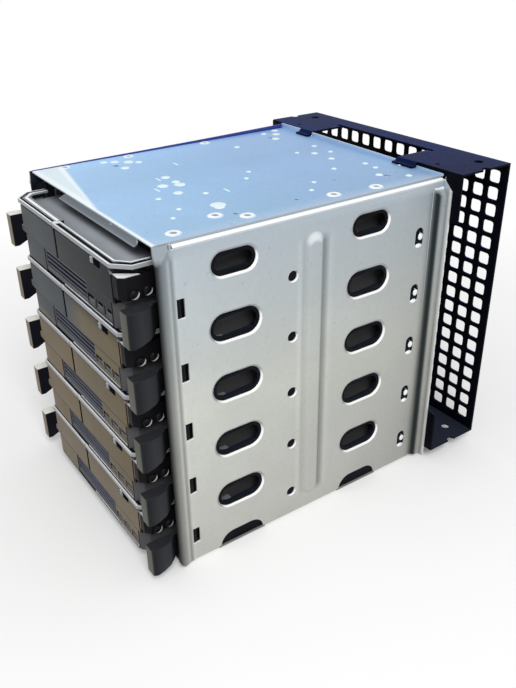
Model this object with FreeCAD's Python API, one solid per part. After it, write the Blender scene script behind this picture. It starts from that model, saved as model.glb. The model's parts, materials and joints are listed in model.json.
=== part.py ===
import FreeCAD, Part
import math
import os

# Hot swap drive cage: five pull-out trays in a riveted sheet-steel cage, with a mesh bracket behind it.
# Millimetres.  X is the width, Y runs from the tray fronts (-Y) to the mesh (+Y), Z is up.
# Everything is drawn with y = 0 at the front edge of the cage's top panel, and moved in save() so that
# the origin is the middle of the footprint, on the surface that the cage stands on.
# Names that end in "above" or "below" are heights from a tray's datum, the level of its runners' middle.

Vector = FreeCAD.Vector

# --- drive and cage -----------------------------------------------------------------------------
drive_width = 101.6             # 3.5 inch drive
drive_height = 26.1
drive_spacing = 1.9             # from one drive to the next
drive_fit = 0.3                 # drive to tray wall
bay_count = 5
bay_pitch = drive_height + drive_spacing
cage_width = 123.3              # over the side panels
cage_depth = 147.0
sheet = 0.8
first_tray = 8.5                # datum of the lowest tray above the underside of the cage
headroom = 32.1                 # datum of the highest tray to the top of the cage
bend_radius = 1.5
seam_flange = 12.0              # flanges that carry the top and bottom panels
fit = 0.1                       # hooks in their holes
cut_over = 1.0                  # how far a cutting shape passes the face that it cuts
round_sides = 10                # flats on the repeated round shapes; screw holes are true cylinders

# --- side panels --------------------------------------------------------------------------------
slot_length = 23.6              # obround openings beside each drive
slot_height = 12.0
slot_above = 19.9
top_slot_length = 20.4          # the highest ones are smaller and sit lower
top_slot_height = 9.8
top_slot_above = 18.9
slot_columns = (33.4, 103.6)
slot_relief = 4.5               # how far the lowest openings reach into the bottom
catch_y = 8.9                   # square hole that the tray's latch drops into
catch_width = 3.8
catch_height = 8.2
catch_above = 5.6
round_hole_y = 61.6
round_hole_above = 5.3
round_hole = 5.4
lance_inset = 8.2               # pierced holes that the guide rails hook into, before the rails' rear ends
lance_above = 5.9
lance_width = 4.2
lance_height = 9.0
bead_y = 72.6                   # stiffening bead, pressed outwards
bead_width = 10.4
bead_height = 1.3
bead_bottom = 8.0
bead_top_gap = 11.5
edge_step = 1.6                 # front edge, stepped outwards and hemmed
edge_reach = 0.9                # how far that edge stands in front of the top panel
edge_flat_end = 1.6
edge_slope_end = 5.6
edge_bottom = 0.4
edge_top_gap = 5.6              # the step ends this far below the top, in a sloping shoulder
edge_shoulder = 3.6
edge_shoulder_overlap = 1.4
edge_corner = 5.0
rear_step = 2.2
rear_step_start = 6.4           # before the rear end
rear_step_length = 2.0
rear_flange_reach = 4.9
rear_flange_bottom = 1.6
rear_flange_corner = 4.6

# --- top and bottom panels ----------------------------------------------------------------------
lip_left = -29.0                # tongue folded down at the front of the top panel
lip_right = 47.6
lip_height = 5.2
lip_corner = 6.4
lip_slant = 9.6
panel_end_gap = 1.0
tapped_hole = 3.0               # four mounting holes in the top
hole_y_front = 36.0
hole_y_rear = 127.0
top_hole_x = 45.0

# --- mesh bracket -------------------------------------------------------------------------------
bracket_sheet = 1.0
bracket_width = 142.4
bracket_bottom = 6.3
bracket_top_above_cage = 2.5
bracket_gap = 32.1              # rear of the cage to the outer face of the mesh
mesh_columns = 15
mesh_rows = 17
mesh_pitch_x = 9.1
mesh_pitch_z = 8.25
mesh_hole_x = 6.2
mesh_hole_z = 6.0
flange_mid_depth = 10.5         # narrow middle of the top and bottom flanges
leg_inner = 31.0                # the flanges reach the cage outside this
leg_slope = 3.0
ear_width = 9.4
ear_height = 24.5
tab_inner = 31.0                # tabs that step down onto the cage
tab_outer = 44.0
tab_overlap = 3.0
bracket_hole = 4.2
bracket_hole_x = 60.5
bracket_hole_y = 9.5            # before the mesh
notch_depth = 2.2
notch_length = 4.6
notch_y = 14.0

# --- guide rails --------------------------------------------------------------------------------
rail_front = 34.0
rail_rear = 142.0
rail_wall = 2.0
rail_lip = 1.5
rail_lip_reach = 5.0
rail_above = 15.0               # the channel's web; a thinner plate with windows goes on upwards
plate_front = 19.0              # that plate reaches forward over the latch
plate_above = 13.2
window_inset = 1.6              # the plate's windows are this much smaller than the panel's openings
rail_stop = 1.4
sliding_gap = 0.3
hook_short = 2.4                # the rail's hook leaves this much of its hole free

# --- trays --------------------------------------------------------------------------------------
tray_wall = 2.0
wall_gap = 0.8                  # top of the tray's wall below the next rail
floor_thickness = 1.5
runner_thickness = 2.0
sled_rear = 140.0
floor_bars = (14.0, 56.0, 100.0, 134.0)
floor_bar = 8.0
floor_edge = 8.0

front_face = -12.0              # front of the covers
cover_thickness = 2.6
cover_above = 9.0               # lower edge of the covers
cover_gap = 0.2
rim_reach = 0.9                 # rim in front of the covers
rim_above = 25.2
rim_thickness = 1.8
rim_band = 4.0
rim_slant = 6.2
rim_slant_depth = 7.4
neck_inset = 0.6                # shadow gap between the ledge and the rim
neck_side = 1.6
neck_thick = 3.4
skirt_inset = 1.5
rim_start_left = 46.0
rim_start_right = 50.0
ledge_above = 21.0
end_above = 11.9                # underside of the end blocks, above the finger tabs
end_left = 52.0
end_right = 56.0
end_corner_left = 6.0
end_corner_right = 2.5
end_return = 4.0
nose_half = 51.0                # lower front, between the finger tabs
nose_corner = 7.0
nose_below = 2.0
nose_wall = 1.8
deck_above = 22.2
deck_rear = 8.0
deck_thickness = 1.6
core_gap = 0.8                  # moulding behind the covers to the left cover's wall
hollow_front = -0.8
seam_x = -5.0
seam_gap = 0.8
seam_step = 1.6                 # the two rims are stepped at the seam
grille_left = -20.5
grille_right = 22.5
grille_bottom_above = 0.6
grille_top_above = 8.0
window_count = 3
window_pitch = 8.4
window_width = 5.0
window_height = 2.4
window_above = 3.6

# --- side latches -------------------------------------------------------------------------------
latch_gap = 0.65                # arm to side panel
latch_thickness = 2.2
latch_low = 1.5
latch_high = 10.6
hook_fit = 0.3
hook_tip_gap = 0.2              # hook tip inside the panel's outer face
tab_front = -14.3
tab_thickness = 6.0             # at its widest; the arm behind it is thinner
tab_inset = 0.4
tab_round = 0.8
tab_flat = 5.2
tab_neck = 1.8                  # the wide part stays this far in front of the cage
under_lead = 2.4                # the tab's lower edge is level this far from its front, then rises
under_rear = 2.5
under_rise = 4.6
under_neck = 3.0
tab_below_right = 6.1
tab_below_left = 1.6
tab_above_left = 14.0
post_y = 28.0                   # hinge post of the sled
post_diameter = 2.4
post_fit = 0.15
knuckle_wall = 0.75
knuckle_mouth = 1.6             # the knuckle snaps over its post through this gap
lug_thickness = 1.5
lug_half_width = 3.4
lug_gap = 0.4

# --- worked out ---------------------------------------------------------------------------------
cage_height = first_tray + (bay_count - 1) * bay_pitch + headroom
half_width = cage_width / 2
inner_half = half_width - sheet
panel_half = half_width - bend_radius
mesh_y = cage_depth + bracket_gap
bracket_top = cage_height + bracket_top_above_cage
rail_face = inner_half - rail_wall
rail_lip_edge = rail_face - rail_lip_reach
runner_half = rail_face - sliding_gap
runner_low = -runner_thickness / 2
runner_high = runner_thickness / 2
wall_inner = drive_width / 2 + drive_fit
wall_outer = wall_inner + tray_wall
floor_top_above = runner_low + floor_thickness
lance_y = rail_rear - lance_inset
plate_top = bay_pitch + runner_low - sliding_gap - rail_lip - fit
wall_above = plate_top - wall_gap
core_half = end_left - cover_thickness - core_gap
sled_front = deck_rear - 1.0
cover_back = front_face + cover_thickness
arm_outer = inner_half - latch_gap
arm_inner = arm_outer - latch_thickness
knuckle_radius = post_diameter / 2 + post_fit + knuckle_wall
post_x = arm_outer + 0.2 - knuckle_radius
front_reach = max(-tab_front, rim_reach - front_face)
origin_y = (mesh_y - front_reach) / 2


def tray_z(bay):
    """Height of the tray datum in one bay, counted from the bottom."""
    return first_tray + bay * bay_pitch


# --- shapes -------------------------------------------------------------------------------------
def box(x0, x1, y0, y1, z0, z1):
    """Block between two corners, given in either order along X."""
    return Part.makeBox(abs(x1 - x0), y1 - y0, z1 - z0, Vector(min(x0, x1), y0, z0))


def prism(points, direction):
    """Closed outline of 3D points, pushed along a direction."""
    wire = Part.makePolygon(list(points) + [points[0]])
    return Part.Face(wire).extrude(direction)


def plan(points, z0, z1):
    return prism([Vector(x, y, z0) for x, y in points], Vector(0, 0, z1 - z0))


def side_view(points, x0, x1):
    return prism([Vector(x0, y, z) for y, z in points], Vector(x1 - x0, 0, 0))


def front_view(points, y0, y1):
    return prism([Vector(x, y0, z) for x, z in points], Vector(0, y1 - y0, 0))


def upright(x, y, z0, z1, diameter):
    return Part.makeCylinder(diameter / 2, z1 - z0, Vector(x, y, z0))


def ring(radius, count, start=0.0):
    """Corners of a many-sided round whose flats touch the circle, so that it never comes out too small."""
    reach = radius / math.cos(math.pi / count)
    angles = [start + 2 * math.pi * (i + 0.5) / count for i in range(count)]
    return [(reach * math.cos(angle), reach * math.sin(angle)) for angle in angles]


def obround_points(y, z, length, height):
    """Outline of a slot with round ends, long in Y."""
    reach = (length - height) / 2
    points = ring(height / 2, round_sides)
    return [(y + py + (reach if py > 0 else -reach), z + pz) for py, pz in points]


def obround(y, z, length, height, x0, x1):
    return side_view(obround_points(y, z, length, height), x0, x1)


def round_bar(y, z, diameter, x0, x1):
    """Many-sided bar along X."""
    return side_view([(y + py, z + pz) for py, pz in ring(diameter / 2, round_sides)], x0, x1)


def round_post(x, y, z0, z1, diameter):
    """Many-sided upright post."""
    return plan([(x + px, y + py) for px, py in ring(diameter / 2, round_sides)], z0, z1)


def mirrored(shape):
    return shape.mirror(Vector(0, 0, 0), Vector(1, 0, 0))


def joined(first, *rest):
    return first.fuse(list(rest)).removeSplitter()


def save(name, shape):
    placed = shape.copy()
    placed.translate(Vector(0, -origin_y, 0))
    placed.exportStep("parts/" + name + ".step")


# --- sheet-steel cage ---------------------------------------------------------------------------
def channel_face():
    """Section of the right side panel: upright with a flange at the top and bottom, rounded bends."""
    outer = half_width
    bend = half_width - bend_radius
    edge = half_width - seam_flange
    top = cage_height - sheet
    thin = bend_radius - sheet
    diagonal = math.sqrt(0.5)

    def line(x0, z0, x1, z1):
        return Part.makeLine(Vector(x0, 0, z0), Vector(x1, 0, z1))

    def corner(z, radius, up):
        middle = Vector(bend + radius * diagonal, 0, z + up * radius * diagonal)
        return Part.Arc(Vector(bend, 0, z + up * radius), middle, Vector(bend + radius, 0, z)).toShape()

    low = bend_radius
    high = top - bend_radius
    edges = [
        line(edge, 0, bend, 0), corner(low, bend_radius, -1), line(outer, low, outer, high),
        corner(high, bend_radius, 1), line(bend, top, edge, top), line(edge, top, edge, top - sheet),
        line(edge, top - sheet, bend, top - sheet), corner(high, thin, 1),
        line(inner_half, high, inner_half, low), corner(low, thin, -1),
        line(bend, sheet, edge, sheet), line(edge, sheet, edge, 0),
    ]
    return Part.Face(Part.Wire(edges))


def front_edge():
    """Stepped-out front edge of the right side panel, with its closed hem and the shoulder above it."""
    step = half_width + edge_step
    inner = step - sheet
    fold = step - 2 * sheet
    nose = -edge_reach
    rear = edge_slope_end + 2.0
    bevel = sheet / 2
    outline = [
        (half_width, rear), (half_width, edge_slope_end), (step, edge_flat_end),
        (step, nose + bevel), (step - bevel, nose), (fold + bevel, nose), (fold, nose + bevel),
        (fold, edge_flat_end), (inner, edge_flat_end), (inner_half, edge_slope_end + bevel),
        (inner_half, rear),
    ]
    high = cage_height - edge_top_gap
    x0 = inner_half - cut_over
    x1 = step + cut_over
    strip = plan(outline, edge_bottom, high)
    centre_y = nose + edge_corner
    centre_z = edge_bottom + edge_corner
    square = box(x0, x1, nose - cut_over, centre_y, edge_bottom - cut_over, centre_z)
    strip = strip.cut(square.cut(round_bar(centre_y, centre_z, 2 * edge_corner, x0, x1)))
    # above the strip the sheet slopes back to the level of the panel and goes on to the top
    low = high - edge_shoulder_overlap
    shoulder = front_view([
        (step, low), (step, high), (half_width, high + edge_shoulder), (half_width, cage_height),
        (inner_half, cage_height), (inner_half, high + edge_shoulder - bevel), (inner, high - bevel),
        (inner, low),
    ], nose, rear)
    allowed = plan([
        (inner_half, nose), (step, nose), (step, edge_flat_end), (half_width, edge_slope_end),
        (half_width, rear), (inner_half, rear),
    ], low, cage_height)
    return strip.fuse(shoulder.common(allowed))


def rear_edge():
    """Rear step of the right side panel and the outward flange that carries the mesh bracket."""
    start = cage_depth - rear_step_start
    step_end = start + rear_step_length
    step = half_width + rear_step
    tip = half_width + rear_flange_reach
    bevel = sheet / 2
    outline = [
        (half_width, start - 1.5), (half_width, start), (step, step_end), (step, cage_depth - sheet),
        (tip, cage_depth - sheet), (tip, cage_depth), (step - sheet, cage_depth),
        (step - sheet, step_end + bevel), (inner_half, start + bevel), (inner_half, start - 1.5),
    ]
    high = cage_height - bend_radius
    chamfer = front_view([
        (half_width, high + cut_over), (half_width, high), (tip, high - rear_flange_corner),
        (tip + cut_over, high - rear_flange_corner), (tip + cut_over, high + cut_over),
    ], start - 2 * cut_over, cage_depth + cut_over)
    return plan(outline, rear_flange_bottom, high).cut(chamfer)


def bead():
    """Solid and hollow of the stiffening bead, wide at the panel and narrower at its crest."""
    top = cage_height - bead_top_gap
    crest = half_width + bead_height
    wires = []
    for x, inset in ((inner_half + sheet / 4, 0.0), (half_width, 0.0), (crest, bead_height)):
        points = obround_points(0, 0, top - bead_bottom - 2 * inset, bead_width - 2 * inset)
        middle = (bead_bottom + top) / 2
        corners = [Vector(x, bead_y + pz, middle + py) for py, pz in points]
        wires.append(Part.makePolygon(corners + [corners[0]]))
    base = Part.Face(wires[0]).extrude(Vector(wires[1].BoundBox.XMin - wires[0].BoundBox.XMin, 0, 0))
    dome = Part.makeLoft(wires[1:], True, True)
    width = bead_width / 2 - bead_height - sheet
    hollow = box(inner_half - cut_over, crest - sheet, bead_y - width, bead_y + width,
                 bead_bottom + bead_width / 2, top - bead_width / 2)
    return base.fuse(dome), hollow


def side_opening(bay, inset, x0, x1, y):
    """Cutting shape of the opening beside a drive, made smaller all round by inset."""
    if bay == bay_count - 1:
        length, height, above = top_slot_length, top_slot_height, top_slot_above
    else:
        length, height, above = slot_length, slot_height, slot_above
    return obround(y, tray_z(bay) + above, length - 2 * inset, height - 2 * inset, x0, x1)


def side_panel():
    """Right side panel."""
    start = edge_slope_end + 1.0
    end = cage_depth - rear_step_start - 0.5
    panel = channel_face().extrude(Vector(0, end - start, 0))
    panel.translate(Vector(0, start, 0))
    solid, hollow = bead()
    panel = joined(panel, front_edge(), rear_edge(), solid).cut(hollow)
    x0 = inner_half - cut_over
    x1 = half_width + cut_over
    cuts = []
    for bay in range(bay_count):
        z = tray_z(bay)
        for y in slot_columns:
            cuts.append(side_opening(bay, 0, x0, x1, y))
        for y, above, width, height in ((catch_y, catch_above, catch_width, catch_height),
                                        (lance_y, lance_above, lance_width, lance_height)):
            cuts.append(box(x0, x1, y - width / 2, y + width / 2,
                            z + above - height / 2, z + above + height / 2))
        cuts.append(round_bar(round_hole_y, z + round_hole_above, round_hole, x0, x1))
    # one more row of openings is cut across the bottom bend
    for y in slot_columns:
        cuts.append(obround(y, tray_z(-1) + slot_above, slot_length, slot_height + 2 * sheet,
                            half_width - slot_relief, x1))
    return panel.cut(cuts).removeSplitter()


def top_panel():
    """Flat panel on the side panels' flanges, with a tongue folded down at the front."""
    low = cage_height - sheet
    tip = cage_height - lip_height
    panel = box(-panel_half, panel_half, 0, cage_depth - panel_end_gap, low, cage_height)
    tongue = front_view([
        (lip_left, tip), (lip_right - lip_corner, tip),
        (lip_right - lip_corner * 0.3, tip + lip_height * 0.2), (lip_right, tip + lip_height * 0.6),
        (lip_right, low + sheet / 4), (lip_left + lip_slant, low + sheet / 4),
    ], 0, sheet)
    cuts = [upright(x, y, low - cut_over, cage_height + cut_over, tapped_hole)
            for x in (-top_hole_x, top_hole_x) for y in (hole_y_front, hole_y_rear)]
    return joined(panel, tongue).cut(cuts)


def bottom_panel():
    """Flat panel inside the cage, on the side panels' bottom flanges."""
    panel = box(-panel_half, panel_half, panel_end_gap, cage_depth - panel_end_gap, sheet, 2 * sheet)
    cuts = []
    for y in slot_columns:
        for side in (-1, 1):
            cuts.append(box(side * (half_width - slot_relief), side * half_width,
                            y - slot_length / 2, y + slot_length / 2, 0, 3 * sheet))
    return panel.cut(cuts)


# --- mesh bracket -------------------------------------------------------------------------------
def flange_outline():
    """Top flange of the mesh bracket seen from above; the bottom one is the same."""
    half = bracket_width / 2
    mid_y = mesh_y - flange_mid_depth
    mid_x = leg_inner + leg_slope
    notch_front = mesh_y - notch_y - notch_length
    notch_rear = mesh_y - notch_y
    right = [
        (mid_x, mid_y), (leg_inner, cage_depth), (half, cage_depth), (half, notch_front),
        (half - notch_depth, notch_front + notch_depth / 2),
        (half - notch_depth, notch_rear - notch_depth / 2),
        (half, notch_rear), (half, mesh_y),
    ]
    return [(-x, y) for x, y in reversed(right)] + right


def step_tab(side):
    """Tab from a leg of the top flange, stepped down onto the cage's top panel."""
    t = bracket_sheet
    drop = bracket_top - t - cage_height
    front = cage_depth - panel_end_gap - tab_overlap
    bend = cage_depth - drop
    rear = mesh_y - flange_mid_depth - 2.0
    low = cage_height
    profile = [
        (front, low), (bend, low), (bend + drop, low + drop), (rear, low + drop), (rear, low + drop + t),
        (bend + drop - t / 2, low + drop + t), (bend - t / 2, low + t), (front, low + t),
    ]
    x0, x1 = sorted((side * tab_inner, side * tab_outer))
    return side_view(profile, x0, x1)


def mesh_bracket():
    """One folded sheet: perforated rear plate, two flanges, four ears and two step-down tabs."""
    half = bracket_width / 2
    t = bracket_sheet
    plate = box(-half, half, mesh_y - t, mesh_y, bracket_bottom, bracket_top)
    top = plan(flange_outline(), bracket_top - t, bracket_top)
    bottom = plan(flange_outline(), bracket_bottom, bracket_bottom + t)
    folds = [top, bottom]
    cuts = []
    for side in (-1, 1):
        inner = side * (half - ear_width)
        folds.append(box(inner, side * half, cage_depth, cage_depth + t,
                         bracket_top - ear_height, bracket_top))
        folds.append(box(inner, side * half, cage_depth, cage_depth + t,
                         bracket_bottom, bracket_bottom + ear_height))
        folds.append(step_tab(side))
        cuts.append(upright(side * bracket_hole_x, mesh_y - bracket_hole_y, 0, bracket_top + cut_over,
                            bracket_hole))
    middle = (bracket_bottom + bracket_top) / 2 + 0.8
    for column in range(mesh_columns):
        x = (column - (mesh_columns - 1) / 2) * mesh_pitch_x
        for row in range(mesh_rows):
            z = middle + (row - (mesh_rows - 1) / 2) * mesh_pitch_z
            cuts.append(box(x - mesh_hole_x / 2, x + mesh_hole_x / 2,
                            mesh_y - t - cut_over, mesh_y + cut_over,
                            z - mesh_hole_z / 2, z + mesh_hole_z / 2))
    return joined(plate, *folds).cut(cuts)


# --- guide rails --------------------------------------------------------------------------------
def guide_rail(bay):
    """Right-hand rail: channel for the tray's runner and plate with windows, hooked into the side panel."""
    z = tray_z(bay)
    lower = z + runner_low - sliding_gap
    upper = z + runner_high + sliding_gap
    bottom = lower - rail_lip
    top = z + rail_above
    profile = [
        (inner_half, bottom), (inner_half, top), (rail_face, top),
        (rail_face, upper + rail_lip), (rail_lip_edge, upper + rail_lip), (rail_lip_edge, upper),
        (rail_face, upper), (rail_face, lower), (rail_lip_edge, lower), (rail_lip_edge, bottom),
    ]
    plate = box(rail_face, inner_half, plate_front, rail_rear, z + plate_above, z + plate_top)
    stop = box(rail_lip_edge, rail_face + fit, rail_rear - rail_stop, rail_rear, lower - fit, upper + fit)
    hook = box(inner_half - fit, half_width - fit, lance_y - lance_width / 2 + fit,
               lance_y + lance_width / 2 - fit, z + lance_above - lance_height / 2 + fit,
               z + lance_above + lance_height / 2 - hook_short)
    mouth = plan([
        (rail_lip_edge - cut_over, rail_front - cut_over), (rail_face - cut_over, rail_front - cut_over),
        (rail_lip_edge - cut_over, rail_front + rail_lip_reach),
    ], bottom - cut_over, top + cut_over)
    windows = [side_opening(bay, window_inset, rail_face - cut_over, inner_half + cut_over, y)
               for y in slot_columns]
    channel = front_view(profile, rail_front, rail_rear).cut(mouth)
    return joined(channel, plate, stop, hook).cut(windows)


# --- trays --------------------------------------------------------------------------------------
def sled(bay):
    """Tray body: floor, walls, runners, hinge posts and the moulding behind the covers."""
    z = tray_z(bay)
    floor_low = z + runner_low
    floor_top = z + floor_top_above
    lug_low = z + latch_high + lug_gap
    lug_high = lug_low + lug_thickness
    lug_front = post_y - lug_half_width
    lug_rear = post_y + lug_half_width
    lug_outer = post_x + knuckle_radius
    floor = box(-wall_outer, wall_outer, sled_front, sled_rear, floor_low, floor_top)
    windows = []
    for front, rear in zip(floor_bars, floor_bars[1:]):
        windows.append(box(floor_edge - wall_inner, wall_inner - floor_edge,
                           front + floor_bar / 2, rear - floor_bar / 2,
                           floor_low - cut_over, floor_top + cut_over))
    parts = []
    for side in (-1, 1):
        outer = side * wall_outer
        parts.append(box(side * wall_inner, outer, sled_front, sled_rear, floor_low, z + wall_above))
        parts.append(box(side * wall_inner, side * runner_half, sled_front, sled_rear,
                         z + runner_low, z + runner_high))
        parts.append(box(side * wall_inner, side * lug_outer, lug_front, lug_rear, lug_low, lug_high))
        parts.append(box(side * wall_inner, side * lug_outer, lug_front, lug_rear,
                         z + runner_low, z + runner_high))
        parts.append(box(side * wall_inner, outer, lug_front, lug_rear, floor_low, lug_high))
        parts.append(round_post(side * post_x, post_y, z, lug_high - lug_thickness / 2, post_diameter))
    return joined(floor.cut(windows), front_moulding(z), *parts)


def neck_inside(start):
    """Ends of the slant behind the rim's neck, for a rim whose straight front ends at start."""
    end = start + rim_slant
    return (start - neck_side, cover_back), (end - neck_thick, front_face + rim_slant_depth + neck_side)


def front_moulding(z):
    """Nose with the grille's recess, deck and end blocks, open at the rear."""
    nose = plan([
        (-nose_half, deck_rear), (-nose_half, front_face + nose_corner),
        (-nose_half + nose_corner, front_face),
        (nose_half - nose_corner / 2, front_face), (nose_half, front_face + nose_corner / 2),
        (nose_half, deck_rear),
    ], z - nose_below, z + cover_above - cover_gap)
    corners = []
    for side, start in ((-1, rim_start_left), (1, rim_start_right)):
        neck_start, neck_end = neck_inside(start)
        slope = (neck_end[1] - neck_start[1]) / (neck_end[0] - neck_start[0])
        clear_y = neck_start[1] + max(core_half + 2 * cover_gap - neck_start[0], tray_wall) * slope
        front_x = min(neck_start[0], core_half - tray_wall) - 2 * cover_gap
        corners.append([(side * core_half, deck_rear), (side * core_half, clear_y),
                        (side * front_x, cover_back + cover_gap)])
    core = plan(corners[0] + corners[1][::-1], z, z + deck_above)
    hollow = box(tray_wall - core_half, core_half - tray_wall, hollow_front, deck_rear + cut_over,
                 z + floor_top_above, z + deck_above - deck_thickness)
    inset = cover_thickness + cover_gap
    blocks = [box(side * (core_half - tray_wall / 2), side * (half - inset), front_face + 2 * inset,
                  end_return - cover_gap, z + end_above + cover_gap, z + ledge_above - inset)
              for side, half in ((-1, end_left), (1, end_right))]
    body = joined(nose, core, *blocks).cut(hollow)
    openings = [box(grille_left, grille_right, front_face - cut_over, front_face + nose_wall,
                    z + grille_bottom_above, z + grille_top_above)]
    for i in range(window_count):
        x = grille_right + (i + 0.5) * window_pitch
        openings.append(box(x - window_width / 2, x + window_width / 2, front_face - cut_over,
                            front_face + nose_wall,
                            z + window_above - window_height / 2, z + window_above + window_height / 2))
    return body.cut(openings)


def cover(bay, side):
    """Left (-1) or right (1) front cover, with its end block, ledge and half of the rim."""
    z = tray_z(bay)
    seam = seam_x + side * seam_gap / 2
    half = end_right if side > 0 else end_left
    corner = end_corner_right if side > 0 else end_corner_left
    start = rim_start_right if side > 0 else rim_start_left
    band = rim_band + (0 if side > 0 else seam_step)
    inside = half - cover_thickness
    shoulder = cover_back + corner / 2
    face = plan([
        (seam, front_face), (side * (half - corner), front_face), (side * half, front_face + corner),
        (side * half, end_return), (side * inside, end_return), (side * inside, shoulder),
        (side * (half - corner), cover_back), (seam, cover_back),
    ], z + end_above, z + ledge_above)
    skirt = box(seam, side * (nose_half - skirt_inset), front_face, cover_back,
                z + cover_above, z + end_above)
    # neck that leaves a shadow gap between the ledge and the rim
    end = start + rim_slant
    inner_front = front_face + neck_inset
    rim_front = front_face - rim_reach
    neck_start, neck_end = neck_inside(start)
    behind = [(side * neck_end[0], 0)] + [(side * x, y) for x, y in (neck_end, neck_start)]
    neck = plan([
        (seam, inner_front), (side * (start - neck_inset), inner_front),
        (side * (end - neck_side), inner_front + rim_slant_depth),
        (side * (end - neck_side), 0),
    ] + behind + [(seam, cover_back)], z + ledge_above, z + rim_above - rim_thickness)
    rim = plan([
        (seam, rim_front), (side * start, rim_front), (side * end, rim_front + rim_slant_depth),
        (side * end, 0),
        (side * (end - band), 0), (side * (end - band), rim_front + rim_slant_depth + cover_gap),
        (side * (start - neck_side), rim_front + band), (seam, rim_front + band),
    ], z + rim_above - rim_thickness, z + rim_above)
    ledge = plan([
        (side * neck_start[0], front_face), (side * (half - corner), front_face),
        (side * half, front_face + corner), (side * half, 0),
    ] + behind, z + ledge_above - cover_thickness + cover_gap, z + ledge_above)
    return joined(face, skirt, neck, rim, ledge)


def latch(bay, side):
    """Spring latch: finger tab in front of the cage, arm beside the tray, hook in the side panel."""
    z = tray_z(bay)
    below = tab_below_right if side > 0 else tab_below_left
    above = latch_high if side > 0 else tab_above_left
    low = z + latch_low
    high = z + latch_high
    arm = box(arm_inner, arm_outer, -tab_neck, post_y, low, high)
    half = catch_width / 2 - hook_fit
    hook = plan([
        (arm_outer - fit, catch_y - half), (half_width - hook_tip_gap, catch_y - half),
        (half_width - hook_tip_gap, catch_y), (arm_outer - fit, catch_y + half),
    ], z + catch_above - catch_height / 2 + hook_fit,
       min(z + catch_above + catch_height / 2 - hook_fit, high))
    # finger tab: thick bulging grip whose lower edge falls towards the front
    back = arm_inner + tab_inset
    face = back + tab_thickness
    outline = [
        (back, 0), (back, tab_front), (face - tab_round, tab_front), (face, tab_front + 2 * tab_round),
        (face, tab_front + tab_flat), (face - tab_round, (tab_front - tab_neck) / 3),
        (arm_outer + tab_round, -tab_neck), (arm_outer, -tab_neck), (arm_outer, 0),
    ]
    tab = plan(outline, z - below, z + above)
    under = side_view([
        (tab_front - cut_over, z - below - cut_over), (cut_over, z - below - cut_over), (cut_over, low),
        (-under_rear, max(z - below + under_rise, low - under_neck)), (tab_front + under_lead, z - below),
    ], arm_inner - cut_over, face + cut_over)
    knuckle = round_post(post_x, post_y, low, high, 2 * knuckle_radius)
    bore = round_post(post_x, post_y, low - cut_over, high + cut_over, post_diameter + 2 * post_fit)
    mouth = box(post_x - knuckle_mouth / 2, post_x + knuckle_mouth / 2,
                post_y, post_y + knuckle_radius + cut_over, low - cut_over, high + cut_over)
    shape = joined(arm, hook, tab.cut(under), knuckle).cut([bore, mouth])
    return shape if side > 0 else mirrored(shape)


# --- build --------------------------------------------------------------------------------------
def main():
    os.makedirs("parts", exist_ok=True)
    right = side_panel()
    save("right_side_panel", right)
    save("left_side_panel", mirrored(right))
    save("top_panel", top_panel())
    save("bottom_panel", bottom_panel())
    save("mesh_bracket", mesh_bracket())
    for bay in range(bay_count):
        number = str(bay + 1)
        rail = guide_rail(bay)
        save("rail_right_" + number, rail)
        save("rail_left_" + number, mirrored(rail))
        save("tray_" + number + "_sled", sled(bay))
        save("tray_" + number + "_cover_left", cover(bay, -1))
        save("tray_" + number + "_cover_right", cover(bay, 1))
        save("tray_" + number + "_latch_left", latch(bay, -1))
        save("tray_" + number + "_latch_right", latch(bay, 1))


main()
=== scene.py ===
import json
import math

import bmesh
import bpy
from mathutils import Matrix, Vector

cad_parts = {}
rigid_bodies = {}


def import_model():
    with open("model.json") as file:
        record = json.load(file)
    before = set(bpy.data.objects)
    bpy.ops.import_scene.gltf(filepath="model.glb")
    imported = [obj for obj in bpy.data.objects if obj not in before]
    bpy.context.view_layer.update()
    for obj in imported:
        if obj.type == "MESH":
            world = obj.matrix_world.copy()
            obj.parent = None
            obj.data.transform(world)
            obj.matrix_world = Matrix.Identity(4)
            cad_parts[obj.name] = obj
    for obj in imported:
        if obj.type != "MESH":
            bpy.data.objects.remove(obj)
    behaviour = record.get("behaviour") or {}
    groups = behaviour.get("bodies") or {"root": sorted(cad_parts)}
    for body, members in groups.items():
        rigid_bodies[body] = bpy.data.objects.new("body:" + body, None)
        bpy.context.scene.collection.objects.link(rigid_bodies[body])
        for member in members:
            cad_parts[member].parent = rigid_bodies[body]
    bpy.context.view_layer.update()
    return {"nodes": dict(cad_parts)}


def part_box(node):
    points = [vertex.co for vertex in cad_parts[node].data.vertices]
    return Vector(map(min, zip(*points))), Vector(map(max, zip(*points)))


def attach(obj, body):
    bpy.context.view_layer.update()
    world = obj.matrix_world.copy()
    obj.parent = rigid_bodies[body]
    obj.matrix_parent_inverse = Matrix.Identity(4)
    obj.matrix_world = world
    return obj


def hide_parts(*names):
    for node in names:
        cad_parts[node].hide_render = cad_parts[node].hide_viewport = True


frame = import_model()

# Hot swap drive cage.  Sizes are millimetres: x from the middle, y from the front edge of the top panel,
# z from the surface that the cage stands on.  Names with REL are heights above a tray's datum.
MM = 0.001
TOP_LOW, TOP_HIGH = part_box("top_panel")
FRONT = TOP_LOW.y
TOP = TOP_HIGH.z / MM
BRACKET_LOW, BRACKET_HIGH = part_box("mesh_bracket")
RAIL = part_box("rail_right_1")[0].z
SHEET = 0.8
BAYS = 5
PITCH = (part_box("rail_right_2")[0].z - RAIL) / MM
FIRST = RAIL / MM + 2.8
HALF = 61.65
INNER = HALF - SHEET
BEND = 1.5
PANEL_EDGE = HALF - BEND
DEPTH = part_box("right_side_panel")[1].y / MM - FRONT / MM
MESH_Y = BRACKET_HIGH.y / MM - FRONT / MM


def at(x, y, z):
    return Vector((x * MM, FRONT + y * MM, z * MM))


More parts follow.
